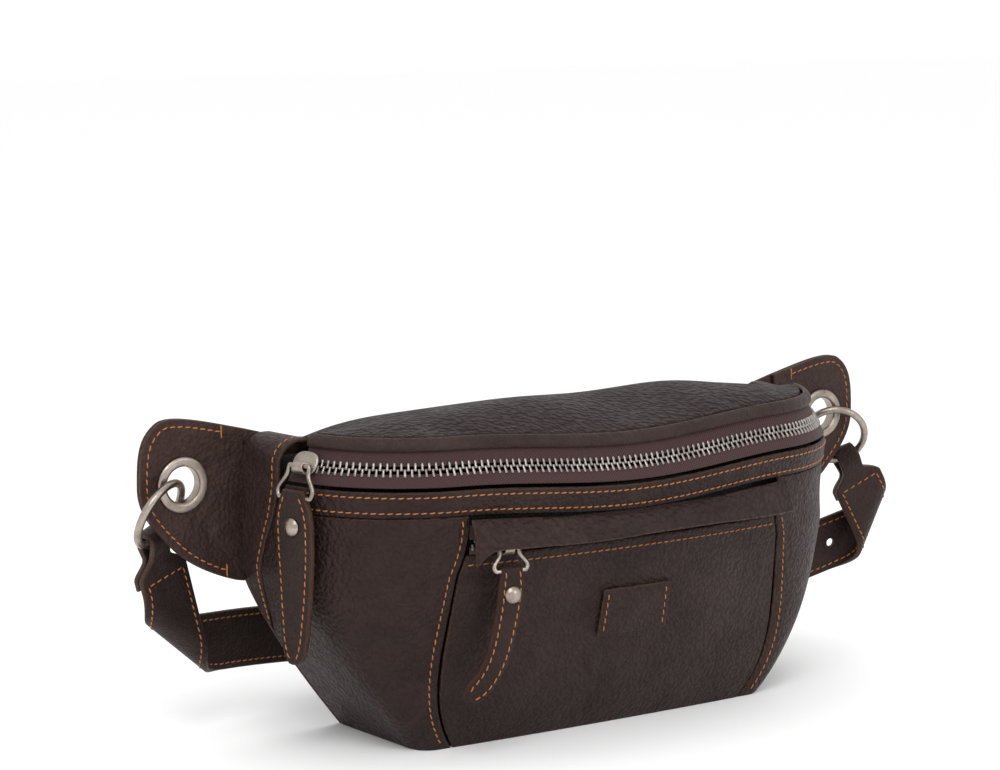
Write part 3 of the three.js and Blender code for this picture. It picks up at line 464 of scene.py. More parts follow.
# Leather skin: rounded grain cells with fine creases between, long soft wrinkles, waxed
# lighter patches, and raw edges where the rim attribute is small.
def makeSkinGroup():
    tree, source, target = newGroup("skin", {
        "Dark": (0.04, 0.03, 0.03, 1), "Light": (0.1, 0.08, 0.075, 1), "Edge": (0.14, 0.1, 0.08, 1),
        "Grain": 500.0, "Depth": 0.5, "Wrinkle": 0.4}, ("Color", "Roughness", "Normal"))
    coord = objectCoord(tree)
    cells = tree.nodes.new("ShaderNodeTexVoronoi")
    cells.feature = "SMOOTH_F1"
    cells.inputs["Smoothness"].default_value = 0.35
    wobble = tree.nodes.new("ShaderNodeTexNoise")
    wobble.inputs["Scale"].default_value = 260
    tree.links.new(coord, wobble.inputs["Vector"])
    warped = tree.nodes.new("ShaderNodeVectorMath")
    warped.operation = "MULTIPLY_ADD"
    warped.inputs[1].default_value = (0.0018, 0.0018, 0.0018)
    tree.links.new(wobble.outputs["Color"], warped.inputs[0])
    tree.links.new(coord, warped.inputs[2])
    tree.links.new(warped.outputs[0], cells.inputs["Vector"])
    tree.links.new(source["Grain"], cells.inputs["Scale"])
    pebble = ramp(tree, cells.outputs["Distance"], [(0.05, 1.0), (0.42, 0.72), (0.72, 0.0)])
    fine = noise(tree, coord, 2200, 3, 0.6)
    patch = noise(tree, coord, 34, 4, 0.6, 0.4)
    streak = noise(tree, coord, 120, 5, 0.65, 0.9)
    fold = noise(tree, coord, 22, 2.5, 0.5, 1.6)
    crease = ramp(tree, fold, [(0.4, 1.0), (0.49, 0.25), (0.53, 0.25), (0.62, 1.0)])
    shade = maths(tree, "MULTIPLY_ADD", patch, 0.9, maths(tree, "MULTIPLY", streak, 0.45))
    light = ramp(tree, shade, [(0.42, 0.0), (0.86, 1.0)])
    base = blendTone(tree, light, source["Dark"], source["Light"])
    base = blendTone(tree, maths(tree, "MULTIPLY", maths(tree, "SUBTRACT", 1.0, pebble), 0.35), base,
        (0.006, 0.004, 0.004))
    base = blendTone(tree, maths(tree, "MULTIPLY", maths(tree, "SUBTRACT", 1.0, crease), 0.22), base,
        (0.032, 0.021, 0.018))
    rim = tree.nodes.new("ShaderNodeAttribute")
    rim.attribute_name = "rim"
    near = ramp(tree, maths(tree, "ADD", rim.outputs["Fac"], maths(tree, "MULTIPLY", streak, 0.6)),
        [(0.3, 1.0), (1.0, 0.0)])
    base = blendTone(tree, maths(tree, "MULTIPLY", near, 0.85), base, source["Edge"])
    rough = maths(tree, "MULTIPLY_ADD", patch, -0.28, maths(tree, "MULTIPLY_ADD", pebble, -0.12, 0.74))
    height = maths(tree, "MULTIPLY", pebble, source["Depth"])
    height = maths(tree, "MULTIPLY_ADD", fine, 0.16, height)
    height = maths(tree, "MULTIPLY_ADD", streak, 0.5, height)
    height = maths(tree, "MULTIPLY_ADD", maths(tree, "MULTIPLY", crease, source["Wrinkle"]), 2.4, height)
    height = maths(tree, "MULTIPLY_ADD", maths(tree, "MULTIPLY", fold, source["Wrinkle"]), 5.0, height)
    bump = bumpOf(tree, height, 0.75, 0.00062)
    tree.links.new(base, target["Color"])
    tree.links.new(rough, target["Roughness"])
    tree.links.new(bump, target["Normal"])
    return tree


skinGroup = makeSkinGroup()


def newLook(name):
    material = bpy.data.materials.new(name)
    material.use_nodes = True
    return material, material.node_tree, material.node_tree.nodes["Principled BSDF"]


# a material whose surface comes from one group with its own values
def groupLook(name, group, values):
    material, tree, shader = newLook(name)
    node = tree.nodes.new("ShaderNodeGroup")
    node.node_tree = group
    for key, value in values.items():
        node.inputs[key].default_value = (*value, 1) if isinstance(value, tuple) else value
    for key, socket in (("Color", "Base Color"), ("Roughness", "Roughness"), ("Normal", "Normal")):
        tree.links.new(node.outputs[key], shader.inputs[socket])
    return material, shader


def leatherLook(name, dark, light, edge, grain, depth, wrinkle, gloss=0.3, coat=0.03):
    material, shader = groupLook(name, skinGroup, {
        "Dark": dark, "Light": light, "Edge": edge, "Grain": grain, "Depth": depth, "Wrinkle": wrinkle})
    shader.inputs["Coat Weight"].default_value = coat
    shader.inputs["Coat Roughness"].default_value = 0.45
    shader.inputs["Specular IOR Level"].default_value = gloss
    shader.inputs["Specular Tint"].default_value = (0.95, 0.66, 0.62, 1)
    return material


# values someone may want to change: tones, grain size (cells per metre), bump depths
leatherSet = {
    "smooth": ((0.0044, 0.0021, 0.0018), (0.0160, 0.0090, 0.0078), (0.05, 0.027, 0.017), 560.0, 1.0, 0.3),
    "pebbled": ((0.0048, 0.0025, 0.0022), (0.0165, 0.0098, 0.0088), (0.052, 0.03, 0.02), 380.0, 2.1, 0.26),
    "top": ((0.0046, 0.0022, 0.0020), (0.0160, 0.0088, 0.0080), (0.052, 0.03, 0.02), 380.0, 2.1, 0.26, 0.14),
    "wing": ((0.0110, 0.0056, 0.0050), (0.0330, 0.0190, 0.0170), (0.046, 0.025, 0.015), 560.0, 0.6, 0.55),
    "strap": ((0.0048, 0.0023, 0.0018), (0.0145, 0.0084, 0.0071), (0.05, 0.026, 0.015), 760.0, 0.4, 0.12),
    "lip": ((0.0088, 0.0050, 0.0043), (0.0265, 0.0172, 0.0152), (0.05, 0.03, 0.02), 800.0, 0.25, 0.25),
}
looks = {key: leatherLook("leather_" + key, *values) for key, values in leatherSet.items()}


# Woven cloth: two sets of threads crossing on the piece's own UV, in metres; twill slants one.
def makeWeave(name, threads, slant):
    tree, source, target = newGroup(name, {"Dark": (0.01, 0.01, 0.01, 1), "Light": (0.05, 0.05, 0.05, 1)},
                                    ("Color", "Roughness", "Normal"))
    uv = tree.nodes.new("ShaderNodeTexCoord").outputs["UV"]
    slanted = tree.nodes.new("ShaderNodeMapping")
    slanted.inputs["Rotation"].default_value = (0, 0, math.radians(slant))
    tree.links.new(uv, slanted.inputs["Vector"])
    warp = tree.nodes.new("ShaderNodeTexWave")
    warp.inputs["Scale"].default_value = threads * 0.314
    warp.inputs["Distortion"].default_value = 0.6
    warp.inputs["Detail"].default_value = 1.0
    warp.inputs["Detail Scale"].default_value = 3.0
    tree.links.new(slanted.outputs[0], warp.inputs["Vector"])
    weft = tree.nodes.new("ShaderNodeTexWave")
    weft.bands_direction = "Y"
    weft.inputs["Scale"].default_value = threads * 0.45
    tree.links.new(uv, weft.inputs["Vector"])
    mottle = noise(tree, objectCoord(tree), 300, 3)
    crossed = maths(tree, "MULTIPLY", weft.outputs["Fac"], 0.3)
    weave = maths(tree, "MULTIPLY_ADD", warp.outputs["Fac"], 0.7, crossed)
    tone = maths(tree, "MULTIPLY_ADD", mottle, 0.5, maths(tree, "MULTIPLY", weave, 0.6))
    spread = ramp(tree, tone, [(0.25, 0.0), (0.85, 1.0)])
    tree.links.new(blendTone(tree, spread, source["Dark"], source["Light"]), target["Color"])
    tree.links.new(ramp(tree, mottle, [(0.3, 0.78), (0.7, 0.92)]), target["Roughness"])
    tree.links.new(bumpOf(tree, weave, 0.6, 0.00025), target["Normal"])
    return tree


def clothLook(name, dark, light, threads, slant):
    material, shader = groupLook(name, makeWeave(name + "_weave", threads, slant),
        {"Dark": dark, "Light": light})
    shader.inputs["Sheen Weight"].default_value = 0.06
    shader.inputs["Sheen Roughness"].default_value = 0.4
    return material


tapeLook = clothLook("zip_tape", (0.016, 0.0040, 0.0044), (0.056, 0.019, 0.0195), 1100, 45)
liningLook = clothLook("lining", (0.012, 0.0095, 0.009), (0.032, 0.026, 0.024), 900, 0)


# Worn metal: brushed streaks and darker patches vary tone and gloss.
def makeWorn():
    tree, source, target = newGroup("worn_metal", {
        "Dark": (0.1, 0.1, 0.1, 1), "Light": (0.5, 0.5, 0.5, 1), "Dull": 0.44, "Bright": 0.22,
            "Scratch": 0.4},
        ("Color", "Roughness", "Normal"))
    coord = objectCoord(tree)
    patch = noise(tree, coord, 140, 4, 0.6)
    fine = noise(tree, coord, 1500, 4, 0.7, 0.3)
    tone = maths(tree, "MULTIPLY_ADD", fine, 0.45, maths(tree, "MULTIPLY", patch, 0.6))
    spread = ramp(tree, tone, [(0.3, 0.0), (0.72, 1.0)])
    tree.links.new(blendTone(tree, spread, source["Dark"], source["Light"]), target["Color"])
    gloss = ramp(tree, tone, [(0.25, 0.0), (0.8, 1.0)])
    span = maths(tree, "SUBTRACT", source["Bright"], source["Dull"])
    tree.links.new(maths(tree, "MULTIPLY_ADD", gloss, span, source["Dull"]), target["Roughness"])
    tree.links.new(bumpOf(tree, fine, source["Scratch"], 0.00008), target["Normal"])
    return tree


wornGroup = makeWorn()


def metalLook(name, dark, light, rough, scratch):
    material, shader = groupLook(name, wornGroup, {
        "Dark": dark, "Light": light, "Dull": rough + 0.16, "Bright": rough - 0.06, "Scratch": scratch})
    shader.inputs["Metallic"].default_value = 1.0
    return material


nickelLook = metalLook("antique_nickel", (0.15, 0.12, 0.10), (0.46, 0.395, 0.345), 0.28, 0.5)
teethLook = metalLook("zip_teeth", (0.10, 0.086, 0.08), (0.44, 0.40, 0.375), 0.27, 0.3)


# waxed thread: two twisted plies, lighter where they bulge
def makeThread():
    material, tree, shader = newLook("thread")
    coord = tree.nodes.new("ShaderNodeTexCoord").outputs["Object"]
    patch = noise(tree, coord, 420, 3, 0.6)
    ply = noise(tree, coord, 3200, 2, 0.6)
    tone = maths(tree, "MULTIPLY_ADD", ply, 0.4, maths(tree, "MULTIPLY", patch, 0.65))
    tree.links.new(ramp(tree, tone, [(0.3, (0.18, 0.055, 0.012)), (0.75, (0.50, 0.18, 0.042))]),
        shader.inputs["Base Color"])
    tree.links.new(bumpOf(tree, ply, 0.6, 0.0001), shader.inputs["Normal"])
    tree.links.new(ramp(tree, patch, [(0.3, 0.5), (0.7, 0.68)]), shader.inputs["Roughness"])
    return material


threadLook = makeThread()


def dress(obj, look, body, slot, *replaced):
    obj.data.materials.clear()
    obj.data.materials.append(look)
    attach(obj, body)
    if replaced:
        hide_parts(*replaced)
    return obj


print("helpers and materials ready")

# walls of the pouch
line = np.linspace(0, 1, 160)


def frontPanelSurface(sign):
    def surface(u, v):
        z = v * (bandFoot(-0.7) - gap)
        station = -mix(pocketShare + 0.004, np.minimum(seamStation(z), 1.199), u)
        top = bandFoot(station) - gap
        # the panel sags a little below the corner, where the wax has cracked
        dent = 1.1 * np.sin(math.pi * u) ** 2 * np.sin(math.pi
            * np.clip(v * 1.15, 0, 1)) ** 2 * np.sin(7 * u + 5 * v)
        point = wallPoint(station, v * top, 1.0 + dent * 0.5)
        return point * mirrored(sign)
    return surface


rows = []
for sign, name in ((1, "front_panel_left"), (-1, "front_panel_right")):
    surface = frontPanelSurface(sign)
    dress(slab(name + "_skin", surface, (92, 97), (84, 84), 2.0, 1.0, flip=(sign > 0)), looks["smooth"],
        "pouch", "leather", name)
    flipped = sign > 0
    rows.append(stitchRow(*onSurface(surface, 0.032, mix(0.03, 0.985, line), 2.0, flipped)))
stitchMesh("seam_stitches", rows, "pouch")


def pocketSurface(u, v):
    station = mix(-pocketShare + 0.002, pocketShare - 0.002, u)
    z = v * 82.2
    full = 2.4 * (1 - np.abs(2 * u - 1) ** 3) * np.sin(math.pi * np.clip(v, 0, 1)) ** 0.8
    wave = 0.5 * np.sin(9 * u + 3 * v) * np.sin(math.pi * v) ** 2
    return wallPoint(station, z, 1.0 - full - wave)


dress(slab("pocket_front_skin", pocketSurface, (160, 82), (140, 80), 2.0, 1.0), looks["smooth"], "pouch",
    "leather", "pocket_front")
rows = [stitchRow(*onSurface(pocketSurface, mix(0.01, 0.99, line), 0.955, 2.0))]
stitchMesh("pocket_stitches", rows, "pouch")


def baseSurface(u, v):
    x, y, ox, oy = planPoint(mix(-1.19, 1.19, u), section(85.7, 57.7, 10.0, 2.0, 90.0))
    return vec(x, mix(28.1, y, v), 1.0)


dress(slab("base_panel_skin", baseSurface, (176, 56), (70, 12), 2.0, 0.8), looks["strap"], "pouch",
    "leather", "base_panel")


def pocketBackSurface(u, v):
    station = mix(-pocketShare + 0.02, pocketShare - 0.02, u)
    return wallPoint(station, mix(2.3, bandFoot(station) - 1.3, v), 12.6)


dress(slab("pocket_back_skin", pocketBackSurface, (150, 93), (50, 30), 1.2, 0.5), liningLook, "pouch",
    "lining", "pocket_back")


def liningFrontSurface(u, v):
    station = mix(-1.18, 1.18, u)
    beside = ease((np.abs(station) - 0.5) / 0.08)
    return wallPoint(station, mix(2.3, 103, v), mix(14.3, 2.6, beside))


dress(slab("lining_front_skin", liningFrontSurface, (420, 100), (120, 30), 0.6, 0.25), liningLook,
    "pouch", "lining", "lining_front")

linHeights = np.array([3, 10, 20, 32, 46, 60, 75, 116.0])


def liningBackSurface(u, v):
    z = mix(3.0, 116.0, v)
    half = np.interp(z, linHeights, sectionAt(linHeights)["half"] + 0.4)
    return vec(mix(-half, half, u), 26.5, z)


dress(slab("lining_back_skin", liningBackSurface, (250, 113), (40, 24), 0.6, 0.25), liningLook, "pouch",
    "lining", "lining_back")
print("walls made")

# zip band, tapes, lip and top


def bandSurface(u, v):
    station = mix(-0.995, 0.995, u)
    lx, ly, _, _ = planPoint(station, sectionAt(95.0))
    hx, hy, ox, oy = planPoint(station, rail, 1.6)
    full = 0.5 * np.sin(math.pi * v) - 1.0
    return vec(mix(lx, hx, v) + full * ox, mix(ly, hy, v) + full * oy,
               mix(bandFoot(station), chainHeight(station) - 8.0, v))


dress(slab("zip_band_skin", bandSurface, (330, 11), (260, 10), 2.0, 0.9), looks["smooth"], "pouch",
    "leather", "zip_band")
long = np.linspace(0.003, 0.997, 400)
stitchMesh("band_stitches", [stitchRow(*onSurface(bandSurface, long, 0.22, 2.0)),
                             stitchRow(*onSurface(bandSurface, long, 0.8, 2.0))], "pouch")


def zipSurface(end, low, high, out):
    return lambda u, v: zipPoint(mix(-end, end, u), mix(low, high, v), out)


teethHalf = 0.45  # half the slit between the two rows
for name, end, low, high, body in (
        ("front_tape", 0.985, -tapeReach + 1.0, -teethHalf - 1.2, "pouch"),
        ("rear_tape", lidEnd, teethHalf + 1.2, tapeReach + 2, "lid")):
    dress(slab(name + "_skin", zipSurface(end, low, high, 0.0), (320, high - low), (220, 6), 0.8, 0.25),
        tapeLook, body, "zip_tape", name)


# one zip tooth: a stem that grips the tape and a rounded head, repeated along a path
def toothRow(name, station, across, lean, span, body, replaced, pointAt, size=1.0):
    place = pointAt(station, across)
    ahead = unit(pointAt(station + 1e-3, across) - place)
    toward = unit(pointAt(station, across + lean * 0.2) - place)
    out = unit(np.cross(ahead, toward)) * (1 if lean > 0 else -1)
    out = np.where((out * outHint(station)).sum(-1, keepdims=True) < 0, -out, out)
    reach = np.array([-0.5, -0.42, -0.12, 0.14, 0.38, 0.5])[:, None] * span
    width = np.array([0.5, 0.62, 0.62, 0.5, 0.74, 0.45])[:, None] * size
    tall = np.array([0.75, 1.0, 1.0, 0.7, 0.95, 0.55])[:, None] * size
    turn = (np.arange(8) + 0.5) * math.pi / 4
    square = lambda t: np.sign(t) * np.abs(t) ** 0.6
    local = vec(width * square(np.cos(turn)), reach + 0 * turn, tall * square(np.sin(turn)))
    obj = copiesOf(name, local, place, np.stack([ahead, toward, out], 1))
    return dress(obj, teethLook, body, "zip_teeth", replaced)


def outHint(station):
    _, _, ox, oy = planPoint(station, rail)
    return vec(ox * 0.87, oy * 0.87, 0.5)


# stations an even distance apart along a line on the zip
def evenly(end, pitch, pointAt, shift=0.0):
    fine = np.linspace(-end, end, 1200)
    path = pointAt(fine, 0.0)
    reach = np.concatenate([[0], np.cumsum(np.linalg.norm(np.diff(path, axis=0), axis=1))])
    return np.interp(np.arange(pitch * (0.5 + shift), reach[-1], pitch), reach, fine)


mainLine = lambda station, across: zipPoint(station, across, 0.15)
mainTeeth = evenly(0.985, 2.75, mainLine)
lidTeeth = evenly(0.985, 2.75, mainLine, 0.5)
lidTeeth = lidTeeth[np.abs(lidTeeth) < lidEnd]
toothRow("front_teeth_row", mainTeeth, -1.3, 1, 3.5, "pouch", "front_teeth", mainLine)
toothRow("rear_teeth_row", lidTeeth, 1.3, -1, 3.5, "lid", "rear_teeth", mainLine)


def lipSurface(u, v):
    # a folded edge: it rises over a soft roll and turns down at both sides
    station = mix(-lidEnd, lidEnd, u)
    roll = np.sin(math.pi * v)
    return zipPoint(station, tapeReach - 0.9 + 5.3 * v, 1.2 + 0.9 * roll)


dress(slab("top_lip_skin", lipSurface, (310, 5.4), (240, 10), 2.2, 1.1), looks["lip"], "lid", "leather",
    "top_lip")


def topSurface(u, v):
    station = mix(-lidEnd + 0.01, lidEnd - 0.01, u)
    front = zipPoint(station, tapeReach + 5.6, 0.3)
    back = vec(mix(-113.0, 113.0, u), backY - 3.6, 121.9)
    side = np.abs(2 * u - 1)
    point = mix(back, front, v[..., None])
    x = mix(back[..., 0], front[..., 0], v ** 3)
    swell = 10.5 * 2.6 * np.sqrt(np.clip(v, 0, 1)) * (1 - v) * (1 - side ** 4)
    # slow waves and a few dents keep the crown from looking blown up
    dent = 0.9 * np.sin(5.2 * u * math.pi + 1.1) * np.sin(math.pi * v) ** 1.2 * (1 - side ** 6)
    dent = dent + 0.6 * np.sin(9 * u + 8 * v) * np.sin(math.pi * v)
    return vec(x, point[..., 1], point[..., 2] + swell + dent - 1.0)


dress(slab("top_panel_skin", topSurface, (240, 78), (170, 70), 2.0, 0.8), looks["top"], "lid", "leather",
    "top_panel")
print("zip and top made")

# side pieces and wings
wingReach = 183.0


def bezier(a, b, c, d, count=24):
    t = np.linspace(0, 1, count, endpoint=False)[:, None]
    a, b, c, d = map(np.array, (a, b, c, d))
    return a * (1 - t) ** 3 + 3 * b * t * (1 - t) ** 2 + 3 * c * t * t * (1 - t) + d * t ** 3


def wingEdge():
    return np.vstack([
        bezier((-140, 67.0), (-152, 70.5), (-163, 76.5), (-170, 84.5)),
        bezier((-170, 84.5), (-177.5, 92), (-wingReach, 99), (-wingReach, 108)),
        bezier((-wingReach, 108), (-wingReach, 122), (-182, 129), (-174, 134)),
        bezier((-174, 134), (-168, 137), (-152, 132.5), (-136, 128.5)),
        [(-136, 128.5)]])


def circle(x, z, r, count=64):
    t = np.arange(count) * 2 * math.pi / count
    return np.stack([x + r * np.cos(t), z + r * np.sin(t)], -1)


def inset(path, distance):
    ahead = unit(np.gradient(path, axis=0))
    return path + np.stack([-ahead[:, 1], ahead[:, 0]], -1) * distance


eyeletX, eyeletZ = 164.3, 108.5
hole = circle(-eyeletX, eyeletZ, 8.2)
wingLine = np.vstack([[(-136.6, 66.4)], wingEdge(), [(-136.6, 127.8)]])
flat = lambda path, sign: path * np.array([sign, 1])


def sideSurface(sign):
    rollStart, rollRadius, rollFlat, foot = 116.0, 10.5, 3.5, 47.0

    def surface(u, v):
        reach, curl = rollStart - foot, rollRadius * math.pi / 2
        along = v * (reach + curl + rollFlat)
        z = foot + np.minimum(along, reach)
        station = -mix(np.minimum(seamStation(z), 1.19) + 0.006, 1.2, u)
        spot = wallPoint(station, np.minimum(z, 95), 1.0)
        turn = np.clip((along - reach) / rollRadius, 0, math.pi / 2)
        level = np.maximum(along - reach - curl, 0)
        hub = spot[..., 0] + rollRadius - 1.0
        r = rollRadius - 1.0
        return vec(hub - r * np.cos(turn) + level, spot[..., 1], z + r * np.sin(turn)) * mirrored(sign)
    return surface


rows = []
backRows = []
for sign, tag in ((1, "left"), (-1, "right")):
    dress(flatPiece("wing_front_" + tag, [flat(wingLine, sign), flat(hole, sign)], 27.3, 1.6, 0.6),
        looks["wing"], "pouch", "leather", "side_panel_" + tag)
    surface = sideSurface(sign)
    dress(slab("side_wall_" + tag, surface, (22, 88), (26, 90), 2.0, 0.9, flip=(sign > 0)),
        looks["wing"], "pouch", "leather", "side_panel_" + tag)
    seam = onSurface(surface, 0.14, mix(0.03, 0.97, line), 2.0, sign > 0)
    rows.append(stitchRow(*seam))
    edge = flat(inset(wingEdge(), -3.0), sign)[4:-5]
    rows.append(stitchRow(vec(edge[:, 0], 26.5, edge[:, 1]), vec(0 * edge[:, 0], -1.0, 0.0)))
    backRows.append(stitchRow(vec(edge[:, 0], 30.0, edge[:, 1]), vec(0 * edge[:, 0], 1.0, 0.0)))
    # a bar tack locks each end of the row: threads laid side by side across it
    for place in (edge[0], edge[-1]):
        bar = place[1] + np.linspace(-1.9, 1.9, 8)
        rows.append(stitchRow(vec(place[0], 26.5, bar), vec(0 * bar, -1.0, 0.0), 0.8))
stitchMesh("wing_stitches", rows, "pouch")

heights = np.arange(0, 67, 3.0)
left = np.stack([-sectionAt(heights)["half"] - 3, heights], -1)
crest = np.vstack([bezier((-136, 128.5), (-126, 126), (-118, 122.5), (-100, 121.9)), [(-100, 121.9)]])
halfLine = np.vstack([left, wingEdge()[1:], crest[1:]])
outline = np.vstack([halfLine, flat(halfLine[::-1], -1)])
dress(flatPiece("back_skin", [outline, hole, flat(hole, -1)], 29.2, 1.6, 0.6), looks["wing"], "pouch",
    "leather", "back_panel")
trim = inset(np.vstack([left[1:-1]]), -3.0)
crown = np.stack([np.linspace(-98, 98, 120), np.full(120, 118.6)], -1)
for path in (trim, flat(trim, -1), crown):
    backRows.append(stitchRow(vec(path[:, 0], 30.0, path[:, 1]), vec(0 * path[:, 0], 1.0, 0.0)))
stitchMesh("back_stitches", backRows, "pouch")
print("wings and back made")

# eyelets, washers, rings
ringSet = {"radius": 14.0, "wire": 1.65, "tilt": 41.0}
reachWay = unit(np.array([-0.66, 0, -0.75]))
tilt = math.radians(ringSet["tilt"])
riseWay = np.array([reachWay[2] * math.cos(tilt), -math.sin(tilt), -reachWay[0] * math.cos(tilt)])
ringMiddle = np.array([-eyeletX - 0.3, backY - 2, eyeletZ - 0.5]) + reachWay * ringSet["radius"]
ringAxis = unit(np.cross(reachWay, riseWay))
mirrorX = np.array([-1.0, 1, 1])


def arc(cx, cy, r, start, end, count=8):
    t = np.radians(np.linspace(start, end, count))
    return np.stack([cx + r * np.cos(t), cy + r * np.sin(t)], -1)


eyeletProfile = np.vstack([
    arc(8.5, 26.2, 1.2, 180, 270, 8), arc(10.1, 26.2, 1.2, 270, 360, 8), [(7.9, 26.2)], [(7.9, 30.9)],
    [(7.6, 31.0)], [(7.35, 30.5)]])
washerProfile = np.vstack([[(8.2, 30.3), (11.0, 30.3)], arc(10.4, 30.4, 0.6, 0, 90, 6), [(8.2, 31.0)]])
for sign, tag in ((1, "left"), (-1, "right")):
    spot = np.array([-eyeletX * sign, 0, eyeletZ])
    dress(turned("eyelet_rim_" + tag, eyeletProfile, spot, (0, 1, 0), 72), nickelLook, "pouch", "nickel",
        "eyelet_" + tag)
    dress(turned("washer_rim_" + tag, washerProfile, spot, (0, 1, 0), 72), nickelLook, "pouch", "nickel",
        "washer_" + tag)
    turn = np.arange(96) * 2 * math.pi / 96
    middle, axis = ringMiddle * mirrored(sign), ringAxis
    loop = ringMiddle + ringSet["radius"] * (np.cos(turn)[:, None] * reachWay
        + np.sin(turn)[:, None] * unit(riseWay))
    thick = ringSet["wire"] * (1 + 0.035 * np.exp(-((turn - 1.1) / 0.05) ** 2))
    dress(tube("ring_wire_" + tag, loop * mirrored(sign), thick, 20, True,
        side=ringAxis * mirrored(sign)), nickelLook, "ring_" + tag, "nickel", "ring_" + tag)
print("rings made")

# sliders, bails and pull tabs


def localFrame(origin, along, upWay, out):
    basis = np.stack([along, upWay, out])
    return lambda p: np.asarray(origin) + np.asarray(p, float) @ basis


# a rounded plate: a superellipse disc with a round edge, thickness across z
def plate(name, put, halfX, halfY, middleY, z, thick, dome=0.0, power=2.6):
    def surface(u, v):
        a = u * 2 * math.pi
        c, s = np.cos(a), np.sin(a)
        r = (np.abs(c) ** power + np.abs(s) ** power) ** (-1 / power) * mix(0.03, 1.0, v)
        x, y = halfX * r * c, halfY * r * s
        return put(vec(x, middleY + y, z + dome * (1 - v ** 2)))
    us = np.arange(40) / 40
    vs = np.concatenate([np.linspace(0, 0.86, 5), [0.92, 0.96, 0.985, 1.0]])
    u, v = np.meshgrid(us, vs, indexing="ij")
    middle = surface(u, v)
    normal = put(np.array([0, 0, 1.0])) - put(np.zeros(3))
    fall = np.sqrt(np.clip(1 - np.clip((v - 0.86) / 0.14, 0, 1) ** 2, 0, 1))[..., None]
    top, low = middle + normal * thick / 2 * fall, middle - normal * thick / 2 * fall
    count = top.shape[0] * top.shape[1]
    ids = np.arange(count).reshape(top.shape[:2])
    under = ids + count
    under[:, -1] = ids[:, -1]
    wrapIds = lambda g: np.vstack([g, g[:1]])
    faces = quadsOf(wrapIds(ids)).tolist() + quadsOf(wrapIds(under))[:, ::-1].tolist()
    faces += [ids[::-1, 0].tolist(), under[:, 0].tolist()]
    used, packed = np.unique(np.concatenate([np.ravel(f) for f in faces]), return_inverse=True)
    lookUp = dict(zip(used.tolist(), range(len(used))))
    points = np.vstack([top.reshape(-1, 3), low.reshape(-1, 3)])[used]
    obj = newObject(name, points, [[lookUp[i] for i in f] for f in faces])
    outward(obj)
    return obj


def slider(tag, put, size, tall, body, node):
    pieces = [plate(tag + "_inner_plate", put, 6.3 * size, 5.0 * size, 0, -2.65 * tall, 1.1),
              plate(tag + "_outer_plate", put, 6.3 * size, 5.0 * size, 0, 2.7 * tall, 1.3, 0.35)]
    turn = np.radians(np.linspace(-8, 188, 40))
    path = vec(0, -2.65 + 2.05 * np.cos(turn),
        (3.2 + 3.7 * np.abs(np.sin(turn)) ** 0.8 * np.sign(np.sin(turn))) * tall)

    def bridge(u, v):
        along = np.interp(u, np.linspace(0, 1, 40), np.arange(40))
        y, z = (np.interp(along, np.arange(40), path[:, k]) for k in (1, 2))
        half = (4.1 - 1.5 * np.sin(math.pi * u)) * size
        return put(vec(mix(-half, half, v), y, z))
    arch = slab(tag + "_bridge", bridge, (12, 8 * size), (34, 8), 1.0, 0.4)
    pieces.append(arch)
    pieces.append(tube(tag + "_neck", put(vec(np.linspace(0, 0.01, 3), 0,
        np.linspace(-2.6, 2.6, 3) * tall)), 0.2, 8,
                       side=put(np.array([1, 0, 0.0])) - put(np.zeros(3)), wide=6.0 * size))
    for piece in pieces:
        dress(piece, nickelLook, body, "nickel", node)


# a wire loop with a narrow top bar and a wide foot, its arms bowed like lyre horns
def bail(tag, put, topHalf, footHalf, drop, body, node):
    corner = np.array([(-topHalf, 0), (-topHalf - 0.6, -drop * 0.3), (-footHalf, -drop * 0.72),
        (-footHalf + 0.5, -drop * 0.97),
                       (-footHalf + 2.2, -drop), (0, -drop), (footHalf - 2.2, -drop),
                           (footHalf - 0.5, -drop * 0.97),
                       (footHalf, -drop * 0.72), (topHalf + 0.6, -drop * 0.3), (topHalf, 0),
                           (topHalf - 1.4, 0.35), (0, 0.35), (-topHalf + 1.4, 0.35)])
    count = len(corner)
    t = np.arange(count * 8) / 8
    k = t.astype(int)
    f = (t - k)[:, None]
    p = [corner[(k + j) % count] for j in (-1, 0, 1, 2)]
    path = 0.5 * (2 * p[1] + (p[2] - p[0]) * f + (2 * p[0] - 5 * p[1] + 4 * p[2] - p[3]) * f ** 2
                  + (3 * p[1] - 3 * p[2] + p[3] - p[0]) * f ** 3)
    broad = put(np.array([0, 0, 1.0])) - put(np.zeros(3))
    dress(tube(tag, put(vec(path[:, 0], path[:, 1], 0.0)), 0.95, 14, True, wide=0.85, side=broad),
        nickelLook, body, "nickel", node)


def rivet(name, put, drop, thick, body, node):
    half = thick / 2 + 0.15
    dome = arc(0, half - 2.6, 4.5, 37, 89.6, 10)
    side = np.vstack([dome[::-1] * [1, 1], [(3.65, half - 0.1)], [(1.4, half - 0.15)]])
    profile = np.vstack([side, side[::-1] * [1, -1]])
    axis = put(np.array([0, 0, 1.0])) - put(np.zeros(3))
    dress(turned(name, profile, put(np.array([0, -drop, 0.0])), axis, 40, False), nickelLook, body,
        "nickel", node)


